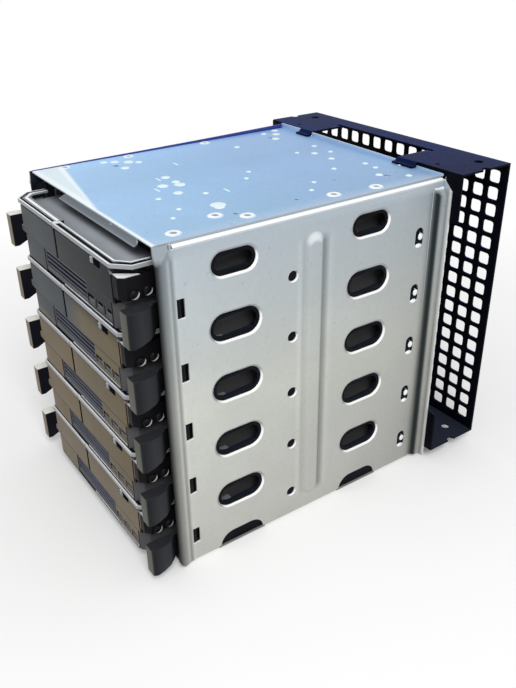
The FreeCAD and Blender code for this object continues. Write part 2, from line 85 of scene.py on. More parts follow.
def tray_z(bay):
    return FIRST + bay * PITCH


def linked(name, data):
    """Object in the scene that holds the data."""
    made = bpy.data.objects.new(name, data)
    bpy.context.scene.collection.objects.link(made)
    return made


# --- finishes -------------------------------------------------------------------------------------
FULL = 195.0


def linear(value):
    value /= 255
    return value / 12.92 if value <= 0.04045 else ((value + 0.055) / 1.055) ** 2.4


def tint(*levels):
    """Red, green and blue, 0 to 255 as displayed, as the linear colour that a shader takes."""
    return tuple(linear(level) for level in levels) + (1.0,)


def shade(*levels):
    """Colour that turns display level FULL into the given level, or into three of them."""
    levels = levels * 3 if len(levels) == 1 else levels
    return tuple(linear(level) / linear(FULL) for level in levels) + (1.0,)


class Value:
    """An output in a node tree that ordinary arithmetic works on."""

    def __init__(self, nodes, socket):
        self.nodes = nodes
        self.socket = socket

    def __add__(self, other):
        return self.nodes.maths("ADD", self, other)

    def __radd__(self, other):
        return self.nodes.maths("ADD", other, self)

    def __sub__(self, other):
        return self.nodes.maths("SUBTRACT", self, other)

    def __rsub__(self, other):
        return self.nodes.maths("SUBTRACT", other, self)

    def __mul__(self, other):
        return self.nodes.maths("MULTIPLY", self, other)

    def __rmul__(self, other):
        return self.nodes.maths("MULTIPLY", other, self)

    def __neg__(self):
        return 0.0 - self

    def __abs__(self):
        return self.nodes.maths("ABSOLUTE", self)

    def clipped(self, low, high):
        """0 at low and 1 at high, straight between them."""
        sockets = {0: self, 1: low, 2: high, 3: 0.0, 4: 1.0}
        return self.nodes.node("ShaderNodeMapRange", {"clamp": True}, sockets)


class Nodes:
    """A node tree being put together."""

    def __init__(self, tree):
        self.tree = tree

    def feed(self, socket, value):
        if isinstance(value, Value):
            self.tree.links.new(value.socket, socket)
        else:
            socket.default_value = value

    def node(self, kind, settings=None, sockets=None, out=0):
        """New node: its settings come first, then the values or links of its sockets."""
        made = self.tree.nodes.new(kind)
        for key, value in (settings or {}).items():
            if key == "stops":
                ramp = made.color_ramp
                while len(ramp.elements) < len(value):
                    ramp.elements.new(0.5)
                for element, (position, colour) in zip(ramp.elements, value):
                    element.position = position
                    element.color = colour
            else:
                setattr(made, key, value)
        for key, value in (sockets or {}).items():
            self.feed(made.inputs[key], value)
        return Value(self, made.outputs[out])

    def maths(self, operation, *values):
        return self.node("ShaderNodeMath", {"operation": operation}, dict(enumerate(values)))

    def seen_plainly(self):
        """1 for camera rays and for what glass and mirrors show, 0 for light."""
        camera, glossy, through = (self.node("ShaderNodeLightPath", out=f"Is {kind} Ray")
                                   for kind in ("Camera", "Glossy", "Transmission"))
        return self.maths("MAXIMUM", self.maths("MAXIMUM", camera, glossy), through)


class Finish(Nodes):
    """A material being put together from nodes."""

    SOCKETS = {"colour": "Base Color", "metal": "Metallic", "rough": "Roughness",
               "shine": "Specular IOR Level", "normal": "Normal"}

    def __init__(self, name):
        self.material = bpy.data.materials.new(name)
        self.material.use_nodes = True
        super().__init__(self.material.node_tree)
        self.shader = self.tree.nodes["Principled BSDF"]
        self.place = self.node("ShaderNodeTexCoord", out="Object")

    def axis(self, letter):
        """Object coordinate in millimetres, y from the front edge of the top panel."""
        value = self.node("ShaderNodeSeparateXYZ", {}, {0: self.place}, out=letter) * (1 / MM)
        return value - FRONT / MM if letter == "Y" else value

    def facing(self, letter):
        """How far the surface looks along an axis, from -1 to 1."""
        normal = self.node("ShaderNodeNewGeometry", out="Normal")
        return self.node("ShaderNodeSeparateXYZ", {}, {0: normal}, out=letter)

    def noise(self, scale, detail=2.0, rough=0.5, stretch=(1, 1, 1)):
        """Noise whose marks are about 1/scale of a metre across."""
        vector = self.node("ShaderNodeMapping", {}, {0: self.place, "Scale": Vector(stretch)})
        sockets = {"Vector": vector, "Scale": scale, "Detail": detail, "Roughness": rough}
        return self.node("ShaderNodeTexNoise", {}, sockets)

    def fine(self, scale, stretch=(1, 1, 1)):
        """Crisper noise, for grain."""
        return self.noise(scale, 2.0, 0.6, stretch)

    def mix(self, first, second, share, kind="MIX"):
        sockets = {0: share, 6: first, 7: second}
        settings = {"data_type": "RGBA", "clamp_factor": True, "blend_type": kind}
        return self.node("ShaderNodeMix", settings, sockets, out=2)

    def dim(self, colour, share, *levels):
        """Colour taken to a shade() of itself by a share."""
        return self.mix(colour, shade(*levels), share, "MULTIPLY")

    def along(self, value, kind, *stops):
        """Colour that goes through the stops: each a place in millimetres, then what the kind takes."""
        low, high = stops[0][0], stops[-1][0]
        spread = [((place - low) / (high - low), kind(*levels)) for place, *levels in stops]
        return self.node("ShaderNodeValToRGB", {"stops": spread}, {0: value.clipped(low, high)})

    def bump(self, height, strength, distance=0.0002):
        sockets = {"Height": height, "Strength": strength, "Distance": distance}
        return self.node("ShaderNodeBump", {}, sockets)

    def done(self, **looks):
        for key, value in looks.items():
            self.feed(self.shader.inputs[self.SOCKETS[key]], value)
        return self.material


def weathered(f, colour, strength=1.0):
    """Faint spangle, rolling lines and darker spots of zinc plating; returns colour, roughness and relief."""
    patches = f.noise(26.0, 3.0, 0.55)
    spangle = f.noise(420.0, 3.0, 0.7)
    lines = f.noise(150.0, 3.0, 0.6, stretch=(1, 0.06, 4))
    spots = f.noise(600.0, 1.0, 0.4).clipped(0.71, 0.77)
    colour = f.dim(colour, spangle.clipped(0.42, 0.68) * (0.35 * strength), 182)
    colour = f.dim(colour, patches.clipped(0.45, 0.65) * strength, 202)
    colour = f.dim(colour, spots * (0.5 * strength), 150)
    rough = (patches - 0.5) * 0.14 + (spangle - 0.5) * 0.16 + (lines - 0.5) * 0.08
    return colour, rough, spangle * 0.6 + lines * 0.5


def side_zinc(name):
    """Plated side sheet with painted light: shade and highlights painted where its rolled front edge, its
    bead and its rear step turn, painted shade on inner faces near the front, and painted highlights on the
    outer flange and on faces that look up.
    """
    f = Finish(name)
    x, y, z = map(f.axis, "XYZ")
    colour = f.along(z, tint, (0.0, 176, 176, 171), (35.0, 181, 182, 177), (80.0, 186, 188, 182),
                     (122.0, 174, 181, 183), (150.0, 167, 177, 185))
    # Painted light along y: painted shade where the rolled front edge and the rear step turn away, painted
    # highlights on their ridges.
    turned = f.along(y, shade, (-1.0, 20), (-0.6, 44), (0.0, 78), (0.6, 100), (1.4, 130), (2.4, 144),
                     (3.5, 163), (4.7, 196), (5.3, 166), (5.9, 148), (6.6, 166), (7.3, 206), (9.0, 201),
                     (40.0, 195), (80.0, 191), (118.0, 184), (137.0, 177), (138.9, 162), (139.9, 142),
                     (140.6, 112), (141.1, 52, 58, 58), (141.8, 18, 31, 34), (142.3, 30, 40, 42),
                     (142.8, 88), (143.5, 144), (144.5, 170), (145.9, 160), (147.0, 172))
    colour = f.mix(colour, turned, 1.0 - z.clipped(145.5, 148.5), "MULTIPLY")
    # Painted shade on the top end of the front edge.
    colour = f.dim(colour, z.clipped(145.0, 149.0) * (1.0 - y.clipped(4.0, 9.0)), 172)
    # Painted light round the bead: painted shade on its slopes and just behind it, painted highlights beside
    # it.
    bead = f.along(y, shade, (63.0, 195), (65.2, 205), (67.2, 182), (69.5, 193), (75.2, 192), (76.4, 150),
                   (78.3, 152), (79.8, 180), (81.0, 202), (84.0, 195))
    colour = f.mix(colour, bead, z.clipped(8.0, 12.0) * z.clipped(142.0, 138.0), "MULTIPLY")
    # Painted shade on inner faces near the front.
    side = x.clipped(-1.0, 1.0) * 2.0 - 1.0
    painted_inside_shade = (-(f.facing("X") * side)).clipped(0.4, 0.8) * (1.0 - y.clipped(12.0, 30.0))
    colour = f.dim(colour, painted_inside_shade, 50, 56, 66)
    # Painted highlight on the outer part of the rear flange.
    colour = f.mix(colour, tint(206, 208, 206), abs(x).clipped(64.8, 66.0))
    colour, rough, relief = weathered(f, colour, 0.8)
    # Painted highlight on faces that look up, such as the top bend, held back at the rear step.
    up = f.facing("Z").clipped(0.12, 0.5) * y.clipped(5.5, 7.0)
    up = up * (1.0 - abs(x).clipped(61.9, 62.3) * y.clipped(139.0, 141.0) * 0.85)
    colour = f.mix(colour, tint(240, 243, 245), up)
    return f.done(colour=colour, metal=0.15, rough=rough + 0.44, shine=0.18,
                  normal=f.bump(relief, 0.1, 0.0003))


def top_zinc(name):
    """Plated top sheet whose blue is a painted reflection over its own tone, with a painted sheen, a painted
    highlight along the front edge, and a grey front tongue with painted shading.
    """
    f = Finish(name)
    x, y, z = map(f.axis, "XYZ")
    # Painted blue reflection over the zinc's own tone: paler to the front, duller and greyer to the right.
    colour = f.along(y, tint, (0.0, 157, 197, 236), (20.0, 154, 194, 233), (55.0, 145, 186, 226),
                     (95.0, 141, 179, 222), (147.0, 139, 175, 217))
    across = f.along(x, shade, (-61.0, 210), (-45.0, 200), (-15.0, 192), (20.0, 198), (50.0, 200),
                     (61.0, 206))
    colour = f.mix(colour, across, 1.0, "MULTIPLY")
    colour = f.dim(colour, x.clipped(5.0, 55.0), 183, 181, 178)
    colour = f.mix(colour, tint(178, 196, 214), x.clipped(52.0, 60.0) * 0.6)
    colour, rough, relief = weathered(f, colour, 0.7)
    # Painted sheen: a pale wedge along the front left of the top, then a painted highlight along the front
    # edge.
    reach = (11.0 - x).clipped(0.0, 80.0) * 15.5 + 1.3
    sheen = (reach - y).clipped(-0.7, 0.9)
    middle = (reach * 0.8 - y).clipped(-0.6, 0.6) * y.clipped(1.6, 3.4)
    colour = f.mix(colour, tint(238, 248, 252), sheen)
    colour = f.mix(colour, tint(216, 233, 243), middle * sheen * 0.9)
    colour = f.mix(colour, tint(238, 246, 250), 1.0 - y.clipped(0.6, 1.3))
    # The painted reflection turns grey along the right edge.
    colour = f.mix(colour, tint(150, 154, 158), x.clipped(59.5, 60.0) * 0.8)
    # Painted shading down the tongue's front face, with painted highlights on its lower edge and on the bend
    # at its top.
    tongue = f.along(z, tint, (TOP - 5.2, 212, 219, 226), (TOP - 4.5, 180, 188, 196),
                     (TOP - 3.4, 150, 160, 168), (TOP - 2.2, 144, 155, 162), (TOP - 1.2, 128, 140, 147),
                     (TOP - 0.6, 170, 182, 188), (TOP, 228, 242, 248))
    colour = f.mix(colour, tongue, (-f.facing("Y")).clipped(0.45, 0.8))
    # Painted shade on faces that look down.
    colour = f.mix(colour, tint(96, 104, 112), (-f.facing("Z")).clipped(0.3, 0.7))
    return f.done(colour=colour, metal=0.22, rough=rough + 0.36, shine=0.15,
                  normal=f.bump(relief, 0.08, 0.0003))


def inside_zinc(name):
    """Sheet seen from inside the cage, with painted shade behind the front opening and over the floor."""
    f = Finish(name)
    colour, rough, relief = weathered(f, f.mix(tint(104, 110, 114), tint(124, 126, 122), f.noise(20.0)))
    # Painted shade behind the front opening, and on faces that look up.
    painted_front_shade = f.mix(shade(42, 48, 58), shade(FULL), f.axis("Y").clipped(10.0, 30.0))
    colour = f.mix(colour, painted_front_shade, f.axis("Z").clipped(6.0, 9.0), "MULTIPLY")
    colour = f.dim(colour, f.facing("Z").clipped(0.4, 0.9), 58, 64, 76)
    return f.done(colour=colour, metal=0.3, rough=rough + 0.5, normal=f.bump(relief, 0.12, 0.0003))


def drawn_edge(name):
    """Rim drawn inwards round an opening: a painted highlight below and behind the opening, painted shade
    above and before it.
    """
    f = Finish(name)
    lit = (f.facing("Z") * 0.8 - f.facing("Y") * 0.55).clipped(0.02, 0.32)
    painted_shade = f.mix(tint(150, 152, 148), tint(158, 164, 168), f.axis("Z").clipped(10.0, 140.0))
    grain = f.fine(1500.0)
    colour = f.dim(f.mix(painted_shade, tint(246, 247, 245), lit), grain.clipped(0.5, 0.75) * 0.25, 176)
    return f.done(colour=colour, metal=0.15, rough=0.3 + grain * 0.2, shine=0.3, normal=f.bump(grain, 0.08))


def bright_edge(name, colour):
    """Metal flap, lip, sill or mark in one given colour, with fine grain."""
    f = Finish(name)
    grain = f.fine(1500.0, stretch=(1, 1, 0.2))
    colour = f.dim(colour, grain.clipped(0.45, 0.7) * 0.6, 178)
    return f.done(colour=colour, metal=0.2, rough=0.28 + grain * 0.2, normal=f.bump(grain, 0.1))


def pierced_ring(name):
    """Raised ring with a painted highlight, white where its slopes face the light."""
    f = Finish(name)
    lit = (f.facing("Z") * 0.55 - f.facing("X") * 0.55 - f.facing("Y") * 0.25).clipped(0.1, 0.6)
    grain = f.fine(900.0)
    colour = f.mix(tint(176, 202, 226), tint(246, 250, 251), lit * 0.8 + grain * 0.4)
    return f.done(colour=colour, metal=0.1, rough=0.32 + grain * 0.15, shine=0.2, normal=f.bump(grain, 0.1))


def black_paint(name):
    """Black powder coat with orange peel, and a painted blue reflection on faces that look up, greyer low
    down.
    """
    f = Finish(name)
    peel, patches = f.noise(900.0), f.noise(22.0)
    x, y, z = map(f.axis, "XYZ")
    # Painted blue reflection on faces that look up: darker to the right, paler near the rear edge, greyer low
    # down.
    painted_reflection = f.mix(tint(8, 28, 72), tint(2, 30, 98), patches.clipped(0.4, 0.6))
    painted_reflection = f.mix(painted_reflection, tint(10, 22, 56), x.clipped(20.0, 62.0) * 0.8)
    painted_reflection = f.mix(painted_reflection, tint(24, 36, 78), y.clipped(MESH_Y - 4.0, MESH_Y) * 0.7)
    painted_reflection = f.mix(tint(36, 42, 54), painted_reflection, z.clipped(20.0, 60.0))
    colour = f.mix(f.mix(tint(5, 6, 10), tint(12, 14, 24), patches), painted_reflection, f.facing("Z").clipped(0.4, 0.95))
    return f.done(colour=colour, rough=0.5 + (peel - 0.5) * 0.2, shine=0.03, normal=f.bump(peel, 0.16))


def front_plastic(name):
    """Grey tray front: cool and darker to the right on the highest tray, sandy on the lower ones; edges dark
    in painted shade, with painted highlights on those that look up.
    """
    f = Finish(name)
    x, z = map(f.axis, "XZ")
    grain = f.fine(1700.0)
    clouds = f.noise(40.0)
    streaks = f.fine(700.0, stretch=(1, 1, 0.04))
    low = (z + (clouds - 0.5) * 4.0).clipped(94.0, 91.0)
    right = z.clipped(118.5, 117.5) * (x + (clouds - 0.5) * 12.0).clipped(-2.0, 12.0)
    warm = 1.0 - (1.0 - low) * (1.0 - right)
    sandy = f.mix(tint(116, 103, 82), tint(108, 97, 76), x.clipped(-8.0, 8.0))
    sandy = f.mix(tint(120, 108, 92), sandy, z.clipped(26.0, 40.0))
    colour = f.mix(tint(72, 77, 80), sandy, warm)
    colour = f.dim(colour, z.clipped(110.0, 118.0) * x.clipped(-7.0, -3.0), 118)
    colour = f.dim(colour, (clouds.clipped(0.4, 0.7) + streaks.clipped(0.5, 0.8)) * 0.3, 168)
    # Painted light on the edges: dark on the sides, pale on faces that look up.
    aside = f.facing("X").clipped(0.5, 0.9)
    turned = (-f.facing("Y")).clipped(0.35, 0.75) * (1.0 - aside) * x.clipped(50.6, 50.0)
    painted_top_light = f.facing("Z").clipped(0.3, 0.8) * x.clipped(50.5, 49.0)
    edge = f.mix(tint(16, 16, 19), tint(132, 136, 142), painted_top_light)
    return f.done(colour=f.mix(edge, colour, turned), rough=0.46 + (grain - 0.5) * 0.15, shine=0.07,
                  normal=f.bump(grain + streaks, 0.1))


def moulded(name, dark, light, roughness=0.45, start=0.3, painted_shade=None, shine=0.1):
    """Moulded plastic: fine spark-eroded grain, with painted light that makes faces that look up paler; a
    table of stops can add painted shade along y on those faces.
    """
    f = Finish(name)
    grain = f.fine(1600.0)
    clouds = f.noise(45.0)
    # Painted light: faces that look up are paler.
    up = f.facing("Z").clipped(start, 0.9)
    colour = f.dim(f.mix(dark, light, up), clouds.clipped(0.4, 0.7) * 0.5 + (grain - 0.5) * 0.2, 172)
    if painted_shade:
        colour = f.mix(colour, f.along(f.axis("Y"), shade, *painted_shade), up, "MULTIPLY")
    return f.done(colour=colour, rough=roughness + (grain - 0.5) * 0.15, shine=shine,
                  normal=f.bump(grain, 0.1))


def latch_plastic(name):
    """Dark finger tabs with painted light: a sandy painted highlight in front, a painted sheen on the
    outside, painted shade on the left ones and a white painted highlight on their tops.
    """
    f = Finish(name)
    x, y = map(f.axis, "XY")
    # Left tabs darker than right ones: painted shade.
    right = x.clipped(-20.0, 20.0)
    grain = f.noise(900.0, 3.0, 0.6, stretch=(1, 1, 0.05))
    fine = f.fine(1700.0)
    # Painted sheen along the outside of the tabs.
    sheen = f.along(y, shade, (-14.3, 160), (-12.5, 180), (-8.6, 240), (-5.2, 190), (-2.5, 130), (0.0, 90))
    colour = f.mix(f.mix(tint(19, 20, 27), tint(31, 33, 37), right), sheen, 1.0, "MULTIPLY")
    # Painted highlight on the front faces.
    painted_front_light = (-f.facing("Y")).clipped(0.45, 0.85)
    colour = f.mix(colour, f.mix(tint(128, 116, 100), tint(88, 87, 80), right), painted_front_light * 0.9)
    # Painted highlight that makes the left tops white.
    up = f.facing("Z").clipped(0.4, 0.9)
    colour = f.mix(colour, f.mix(tint(236, 234, 228), tint(40, 42, 45), right), up)
    colour = f.dim(colour, grain.clipped(0.45, 0.7) * 0.4, 178)
    return f.done(colour=colour, rough=0.42 + (fine - 0.5) * 0.15, shine=0.1, normal=f.bump(fine, 0.1))


def rail_plastic(name):
    """Guide rails inside the cage: dark, with a navy tint of painted light on faces that look up."""
    f = Finish(name)
    grain = f.fine(1500.0)
    colour = f.mix(tint(8, 9, 14), tint(15, 17, 24), f.noise(60.0).clipped(0.4, 0.6))
    colour = f.mix(colour, tint(26, 31, 42), f.facing("Z").clipped(0.4, 0.9))
    return f.done(colour=colour, rough=0.5 + (grain - 0.5) * 0.15, shine=0.05, normal=f.bump(grain, 0.1))


def screw_steel(name):
    """Dark domed heads with a painted highlight: a bright crescent low on the rear side."""
    f = Finish(name)
    grain = f.fine(1800.0)
    lit = (f.facing("Y") * 0.62 - f.facing("Z") * 0.74).clipped(0.1, 0.26)
    colour = f.mix(tint(18, 18, 20), tint(246, 248, 248), lit)
    return f.done(colour=colour, metal=0.1, rough=0.3 + grain * 0.1, shine=0.1, normal=f.bump(grain, 0.05))


# Painted shade along y on the top of each tray's deck: darker at the front and under the top sheet.
DECK_PAINTED_SHADE = ((-13.0, 152), (-9.0, 154), (-5.0, 168), (-2.0, 190), (0.0, 190), (2.0, 172), (7.0, 140))
FINISHES = {
    "side": side_zinc("zinc_sheet"),
    "top": top_zinc("zinc_sheet_blue"),
    "inside": inside_zinc("zinc_sheet_inside"),
    "drawn": drawn_edge("drawn_rim"),
    # The lance flaps are white with a painted highlight.
    "edge": bright_edge("sheared_edge", tint(236, 239, 240)),
    "mark": bright_edge("pressed_mark", tint(226, 243, 250)),
    "ring": pierced_ring("pierced_ring"),
    "paint": black_paint("black_powder_coat"),
    "tray": front_plastic("tray_plastic"),
    "sled": moulded("tray_body_plastic", tint(78, 78, 80), tint(168, 173, 181), painted_shade=DECK_PAINTED_SHADE),
    "brown": moulded("ring_centre", tint(120, 112, 106), tint(158, 148, 142), roughness=0.5),
    "lip": bright_edge("raised_lip", tint(176, 200, 226)),
    "sill": bright_edge("bottom_sill", tint(128, 128, 122)),
    "blue": bright_edge("blue_lip", tint(46, 62, 140)),
    "rim": moulded("tray_rim_plastic", tint(150, 153, 158), tint(238, 241, 242), roughness=0.3, start=0.1),
    "band": moulded("tray_rim_band", tint(138, 141, 145), tint(246, 248, 250), roughness=0.3, start=0.1),
    "rib": moulded("grille_plastic", tint(18, 19, 25), tint(118, 122, 138), roughness=0.4, start=0.1,
                   shine=0.02),
    "latch": latch_plastic("latch_plastic"),
    "rail": rail_plastic("rail_plastic"),
    "dark": moulded("shadow_gap_plastic", tint(8, 8, 10), tint(16, 17, 20), roughness=0.7, shine=0.01),
    "screw": screw_steel("screw_steel"),
}


# --- shapes ---------------------------------------------------------------------------------------
def arc(cx, cy, radius, start, end, steps):
    """Points of an arc, angles in degrees."""
    angles = [math.radians(start + (end - start) * i / steps) for i in range(steps + 1)]
    return [(cx + radius * math.cos(a), cy + radius * math.sin(a)) for a in angles]


def slot_outline(cx, cy, length, height, steps=12):
    reach = (length - height) / 2
    return arc(cx + reach, cy, height / 2, -90, 90, steps) + arc(cx - reach, cy, height / 2, 90, 270, steps)


def round_outline(cx, cy, diameter, steps=24):
    return arc(cx, cy, diameter / 2, 0, 360 - 360 / steps, steps - 1)


def box_outline(x0, x1, y0, y1, corner=0.3, steps=3):
    left, right, low, high = x0 + corner, x1 - corner, y0 + corner, y1 - corner
    return (arc(right, low, corner, -90, 0, steps) + arc(right, high, corner, 0, 90, steps)
            + arc(left, high, corner, 90, 180, steps) + arc(left, low, corner, 180, 270, steps))


def settled(holder):
    """Plain mesh of an object as it shows; the object itself is removed."""
    bpy.context.view_layer.update()
    mesh = bpy.data.meshes.new_from_object(holder.evaluated_get(bpy.context.evaluated_depsgraph_get()))
    bpy.data.objects.remove(holder)
    return mesh


def written(part, name):
    """Mesh of an edited part, which is freed."""
    mesh = bpy.data.meshes.new(name)
    part.to_mesh(mesh)
    part.free()
    return mesh


def broken_edges(part, width, angle, shortest=0.0, clamped=True):
    """Bevels the edges that turn by more than an angle."""
    sharp = [e for e in part.edges if e.is_manifold and e.calc_face_angle(0.0) > math.radians(angle)
             and e.calc_length() > shortest]
    bmesh.ops.bevel(part, geom=sharp, offset=width * MM, segments=2, profile=0.7, affect="EDGES",
                    clamp_overlap=clamped)


def walls(part, first, second):
    """Faces between two closed rows of points."""
    for i in range(len(first)):
        j = (i + 1) % len(first)
        part.faces.new((first[i], first[j], second[j], second[i]))


class Shape:
    """Solids gathered into one mesh; put turns (u, v, w) into a place."""

    def __init__(self):
        self.bm = bmesh.new()

    def prism(self, outline, put, low, high, soft=0.0):
        """Outline pushed from low to high, which may both follow u and v."""
        part = bmesh.new()
        ends = [[part.verts.new(put(u, v, level(u, v) if callable(level) else level)) for u, v in outline]
                for level in (low, high)]
        part.faces.new(ends[0])
        part.faces.new(ends[1])
        walls(part, *ends)
        return self.take(part, soft)

    def block(self, x0, x1, y0, y1, z0, z1, soft=0.15):
        return self.prism([(x0, y0), (x1, y0), (x1, y1), (x0, y1)], at, z0, z1, soft)

    def plate(self, outlines, put, low, high, edge=0.12):
        """Flat sheet with holes; the first outline is its outside."""
        curve = bpy.data.curves.new("plate", "CURVE")
        curve.dimensions = "2D"
        curve.fill_mode = "BOTH"
        curve.extrude = ((high - low) / 2 - edge) * MM
        curve.bevel_depth = edge * MM
        curve.bevel_resolution = 0
        curve.offset = -edge * MM
        for outline in outlines:
            spline = curve.splines.new("POLY")
            spline.points.add(len(outline) - 1)
            for point, (u, v) in zip(spline.points, outline):
                point.co = (u * MM, v * MM, 0, 1)
            spline.use_cyclic_u = True
        mesh = settled(linked("plate", curve))
        part = bmesh.new()
        part.from_mesh(mesh)
        bpy.data.meshes.remove(mesh)
        for vertex in part.verts:
            u, v, w = vertex.co / MM
            vertex.co = put(u, v, w + (low + high) / 2)
        return self.take(part)

    def rows(self, rings, closed_ends=(False, False)):
        """Skin over rings of points, each ring closed."""
        part = bmesh.new()
        verts = [[part.verts.new(point) for point in ring] for ring in rings]
        for first, second in zip(verts, verts[1:]):
            walls(part, first, second)
        for end, closed in zip((verts[0], verts[-1]), closed_ends):
            if closed:
                part.faces.new(end)
        return self.take(part)

    def turned(self, profile, count, put, closed_ends=(False, False)):
        """Round skin from (radius, w) pairs."""
        angles = [2 * math.pi * i / count for i in range(count)]
        return self.rows([[put(radius * math.cos(a), radius * math.sin(a), w) for a in angles]
                          for radius, w in profile], closed_ends)

    def take(self, part, soft=0.0):
        bmesh.ops.remove_doubles(part, verts=part.verts, dist=1e-7)
        bmesh.ops.recalc_face_normals(part, faces=part.faces)
        if soft:
            broken_edges(part, soft, 28)
        mesh = written(part, "part")
        self.bm.from_mesh(mesh)
        bpy.data.meshes.remove(mesh)
        return self

    def mesh(self, name):
        return written(self.bm, name)


def at_front(x, z, y):
    return at(x, y, z)


def at_side(y, z, x):
    return at(x, y, z)


def around(x, y, z):
    """Place near the origin, for shapes that are set out afterwards."""
    return Vector((x * MM, y * MM, z * MM))


def mirrored_put(put, side):
    """The same place on the right (1) or the left (-1)."""
    def placed(u, v, w):
        place = put(u, v, w)
        place.x *= side
        return place
    return placed


def piece(name, shape, finish, *nodes, body="cage", slot="cage_zinc", angle=30):
    """Finished piece from a Shape or a mesh; angle is where smooth shading stops."""
    mesh = shape if isinstance(shape, bpy.types.Mesh) else shape.mesh(name)
    mesh.materials.clear()
    mesh.materials.append(FINISHES[finish])
    mesh.shade_smooth()
    mesh.set_sharp_from_angle(angle=math.radians(angle))
    made = linked(name, mesh)
    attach(made, body)
    if nodes:
        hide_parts(*nodes)


# --- what repeats ---------------------------------------------------------------------------------
class Growth(Nodes):
    """A Geometry Nodes tree with named inputs."""

    def __init__(self, name, **inputs):
        super().__init__(bpy.data.node_groups.new(name, "GeometryNodeTree"))
        new = self.tree.interface.new_socket
        new(name="Geometry", in_out="OUTPUT", socket_type="NodeSocketGeometry")
        self.ids = {label: new(name=label, in_out="INPUT", socket_type="NodeSocket" + kind).identifier
                    for label, kind in inputs.items()}
        self.start = self.tree.nodes.new("NodeGroupInput")

    def given(self, label):
        return Value(self, self.start.outputs[label])

    def copies(self, points, piece_label, **looks):
        """Copies of the piece in an input, set out on points and made real."""
        model = self.node("GeometryNodeObjectInfo", {}, {"Object": self.given(piece_label)}, out="Geometry")
        sockets = {"Points": points, "Instance": model, **looks}
        return self.node("GeometryNodeRealizeInstances", {},
                         {0: self.node("GeometryNodeInstanceOnPoints", {}, sockets)})

    def end(self, geometry):
        sockets = {"Geometry": geometry, "Material": self.given("Finish")}
        dressed = self.node("GeometryNodeSetMaterial", {}, sockets)
        self.feed(self.tree.nodes.new("NodeGroupOutput").inputs[0], dressed)
        return self

    def grow(self, base, **values):
        """Plain mesh that the tree makes from a base mesh."""
        holder = linked("holder", base)
        modifier = holder.modifiers.new("grow", "NODES")
        modifier.node_group = self.tree
        for label, value in values.items():
            modifier[self.ids[label]] = value
        return settled(holder)


def set_out_on_points():
    """Sets one piece out on points, each with its own turn and spread, and gives it a finish."""
    g = Growth("set_out_on_points", Geometry="Geometry", Piece="Object", Size="Float", Finish="Material")
    turn, spread = (g.node("GeometryNodeInputNamedAttribute", {"data_type": "FLOAT_VECTOR"}, {"Name": name},
                           out="Attribute") for name in ("turn", "spread"))
    rotation = g.node("FunctionNodeEulerToRotation", {}, {0: turn})
    scale = g.node("ShaderNodeVectorMath", {"operation": "SCALE"}, {0: spread, "Scale": g.given("Size")})
    return g.end(g.copies(g.given("Geometry"), "Piece", Rotation=rotation, Scale=scale))


def perforated_sheet():
    """Sheet of cells in columns and rows, welded together."""
    g = Growth("perforated_sheet", Geometry="Geometry", Cell="Object", Columns="Int", Rows="Int",
               Width="Float", Height="Float", Finish="Material")
    sizes = {"Size X": "Width", "Size Y": "Height", "Vertices X": "Columns", "Vertices Y": "Rows"}
    grid = g.node("GeometryNodeMeshGrid", {}, {socket: g.given(label) for socket, label in sizes.items()},
                  out="Mesh")
    return g.end(g.node("GeometryNodeMergeByDistance", {},
                        {"Geometry": g.copies(grid, "Cell"), "Distance": 1e-6}))


REPEAT = set_out_on_points()


def spots(places, turn=(0, 0, 0), spread=(1, 1, 1)):
    """One turn and spread for each of the places."""
    return [(place, turn, spread) for place in places]


def repeated(name, shape, where, finish, body="cage", slot="cage_zinc", angle=30):
    """One mesh of copies of a shape drawn round the origin; a spot is (place, turn, spread)."""
    model = linked(name + "_model", shape.mesh(name + "_model"))
    points = bpy.data.meshes.new(name + "_points")
    points.from_pydata([tuple(place) for place, _, _ in where], [], [])
    for label, index in (("turn", 1), ("spread", 2)):
        layer = points.attributes.new(label, "FLOAT_VECTOR", "POINT")
        for item, spot in zip(layer.data, where):
            item.vector = spot[index]
    mesh = REPEAT.grow(points, Piece=model, Size=1.0, Finish=FINISHES[finish])
    bpy.data.objects.remove(model)
    piece(name, mesh, finish, body=body, slot=slot, angle=angle)


# --- cage -----------------------------------------------------------------------------------------
SLOT_Y = (33.4, 103.6)
SLOT_REL, SLOT = 19.9, (23.6, 12.0)
TOP_SLOT_REL, TOP_SLOT = 18.9, (20.4, 9.8)
SLOT_RIM, SLOT_DRAWN = 1.0, 1.4
ROUND_Y, ROUND_REL, ROUND = 61.6, 5.3, 5.4
ROUND_RIM = 0.4
LANCE_Y = 133.8
STEP = HALF + 1.6
NOSE = -0.9
NOSE_CURVE = 5.0
WEB_START, WEB_END = 5.6, DEPTH - 6.9
BEND_START = 7.2
REAR_START = DEPTH - 6.4
REAR = HALF + 2.2
FLANGE = HALF + 4.9
BEAD_Y, BEAD_WIDTH, BEAD_RISE = 72.6, 10.4, 1.35
BEAD_LOW, BEAD_HIGH = 8.0, TOP - 9.6
SEAM = HALF - 12.0


def notch(cy):
    """Top half of the opening that is cut across the bottom bend, going towards +y."""
    radius = SLOT[1] / 2 + SHEET
    reach = SLOT[0] / 2 - radius
    cz = tray_z(-1) + SLOT_REL
    foot = math.degrees(math.asin((BEND - cz) / radius))
    return arc(cy - reach, cz, radius, 180 - foot, 90, 8) + arc(cy + reach, cz, radius, 90, foot, 8)


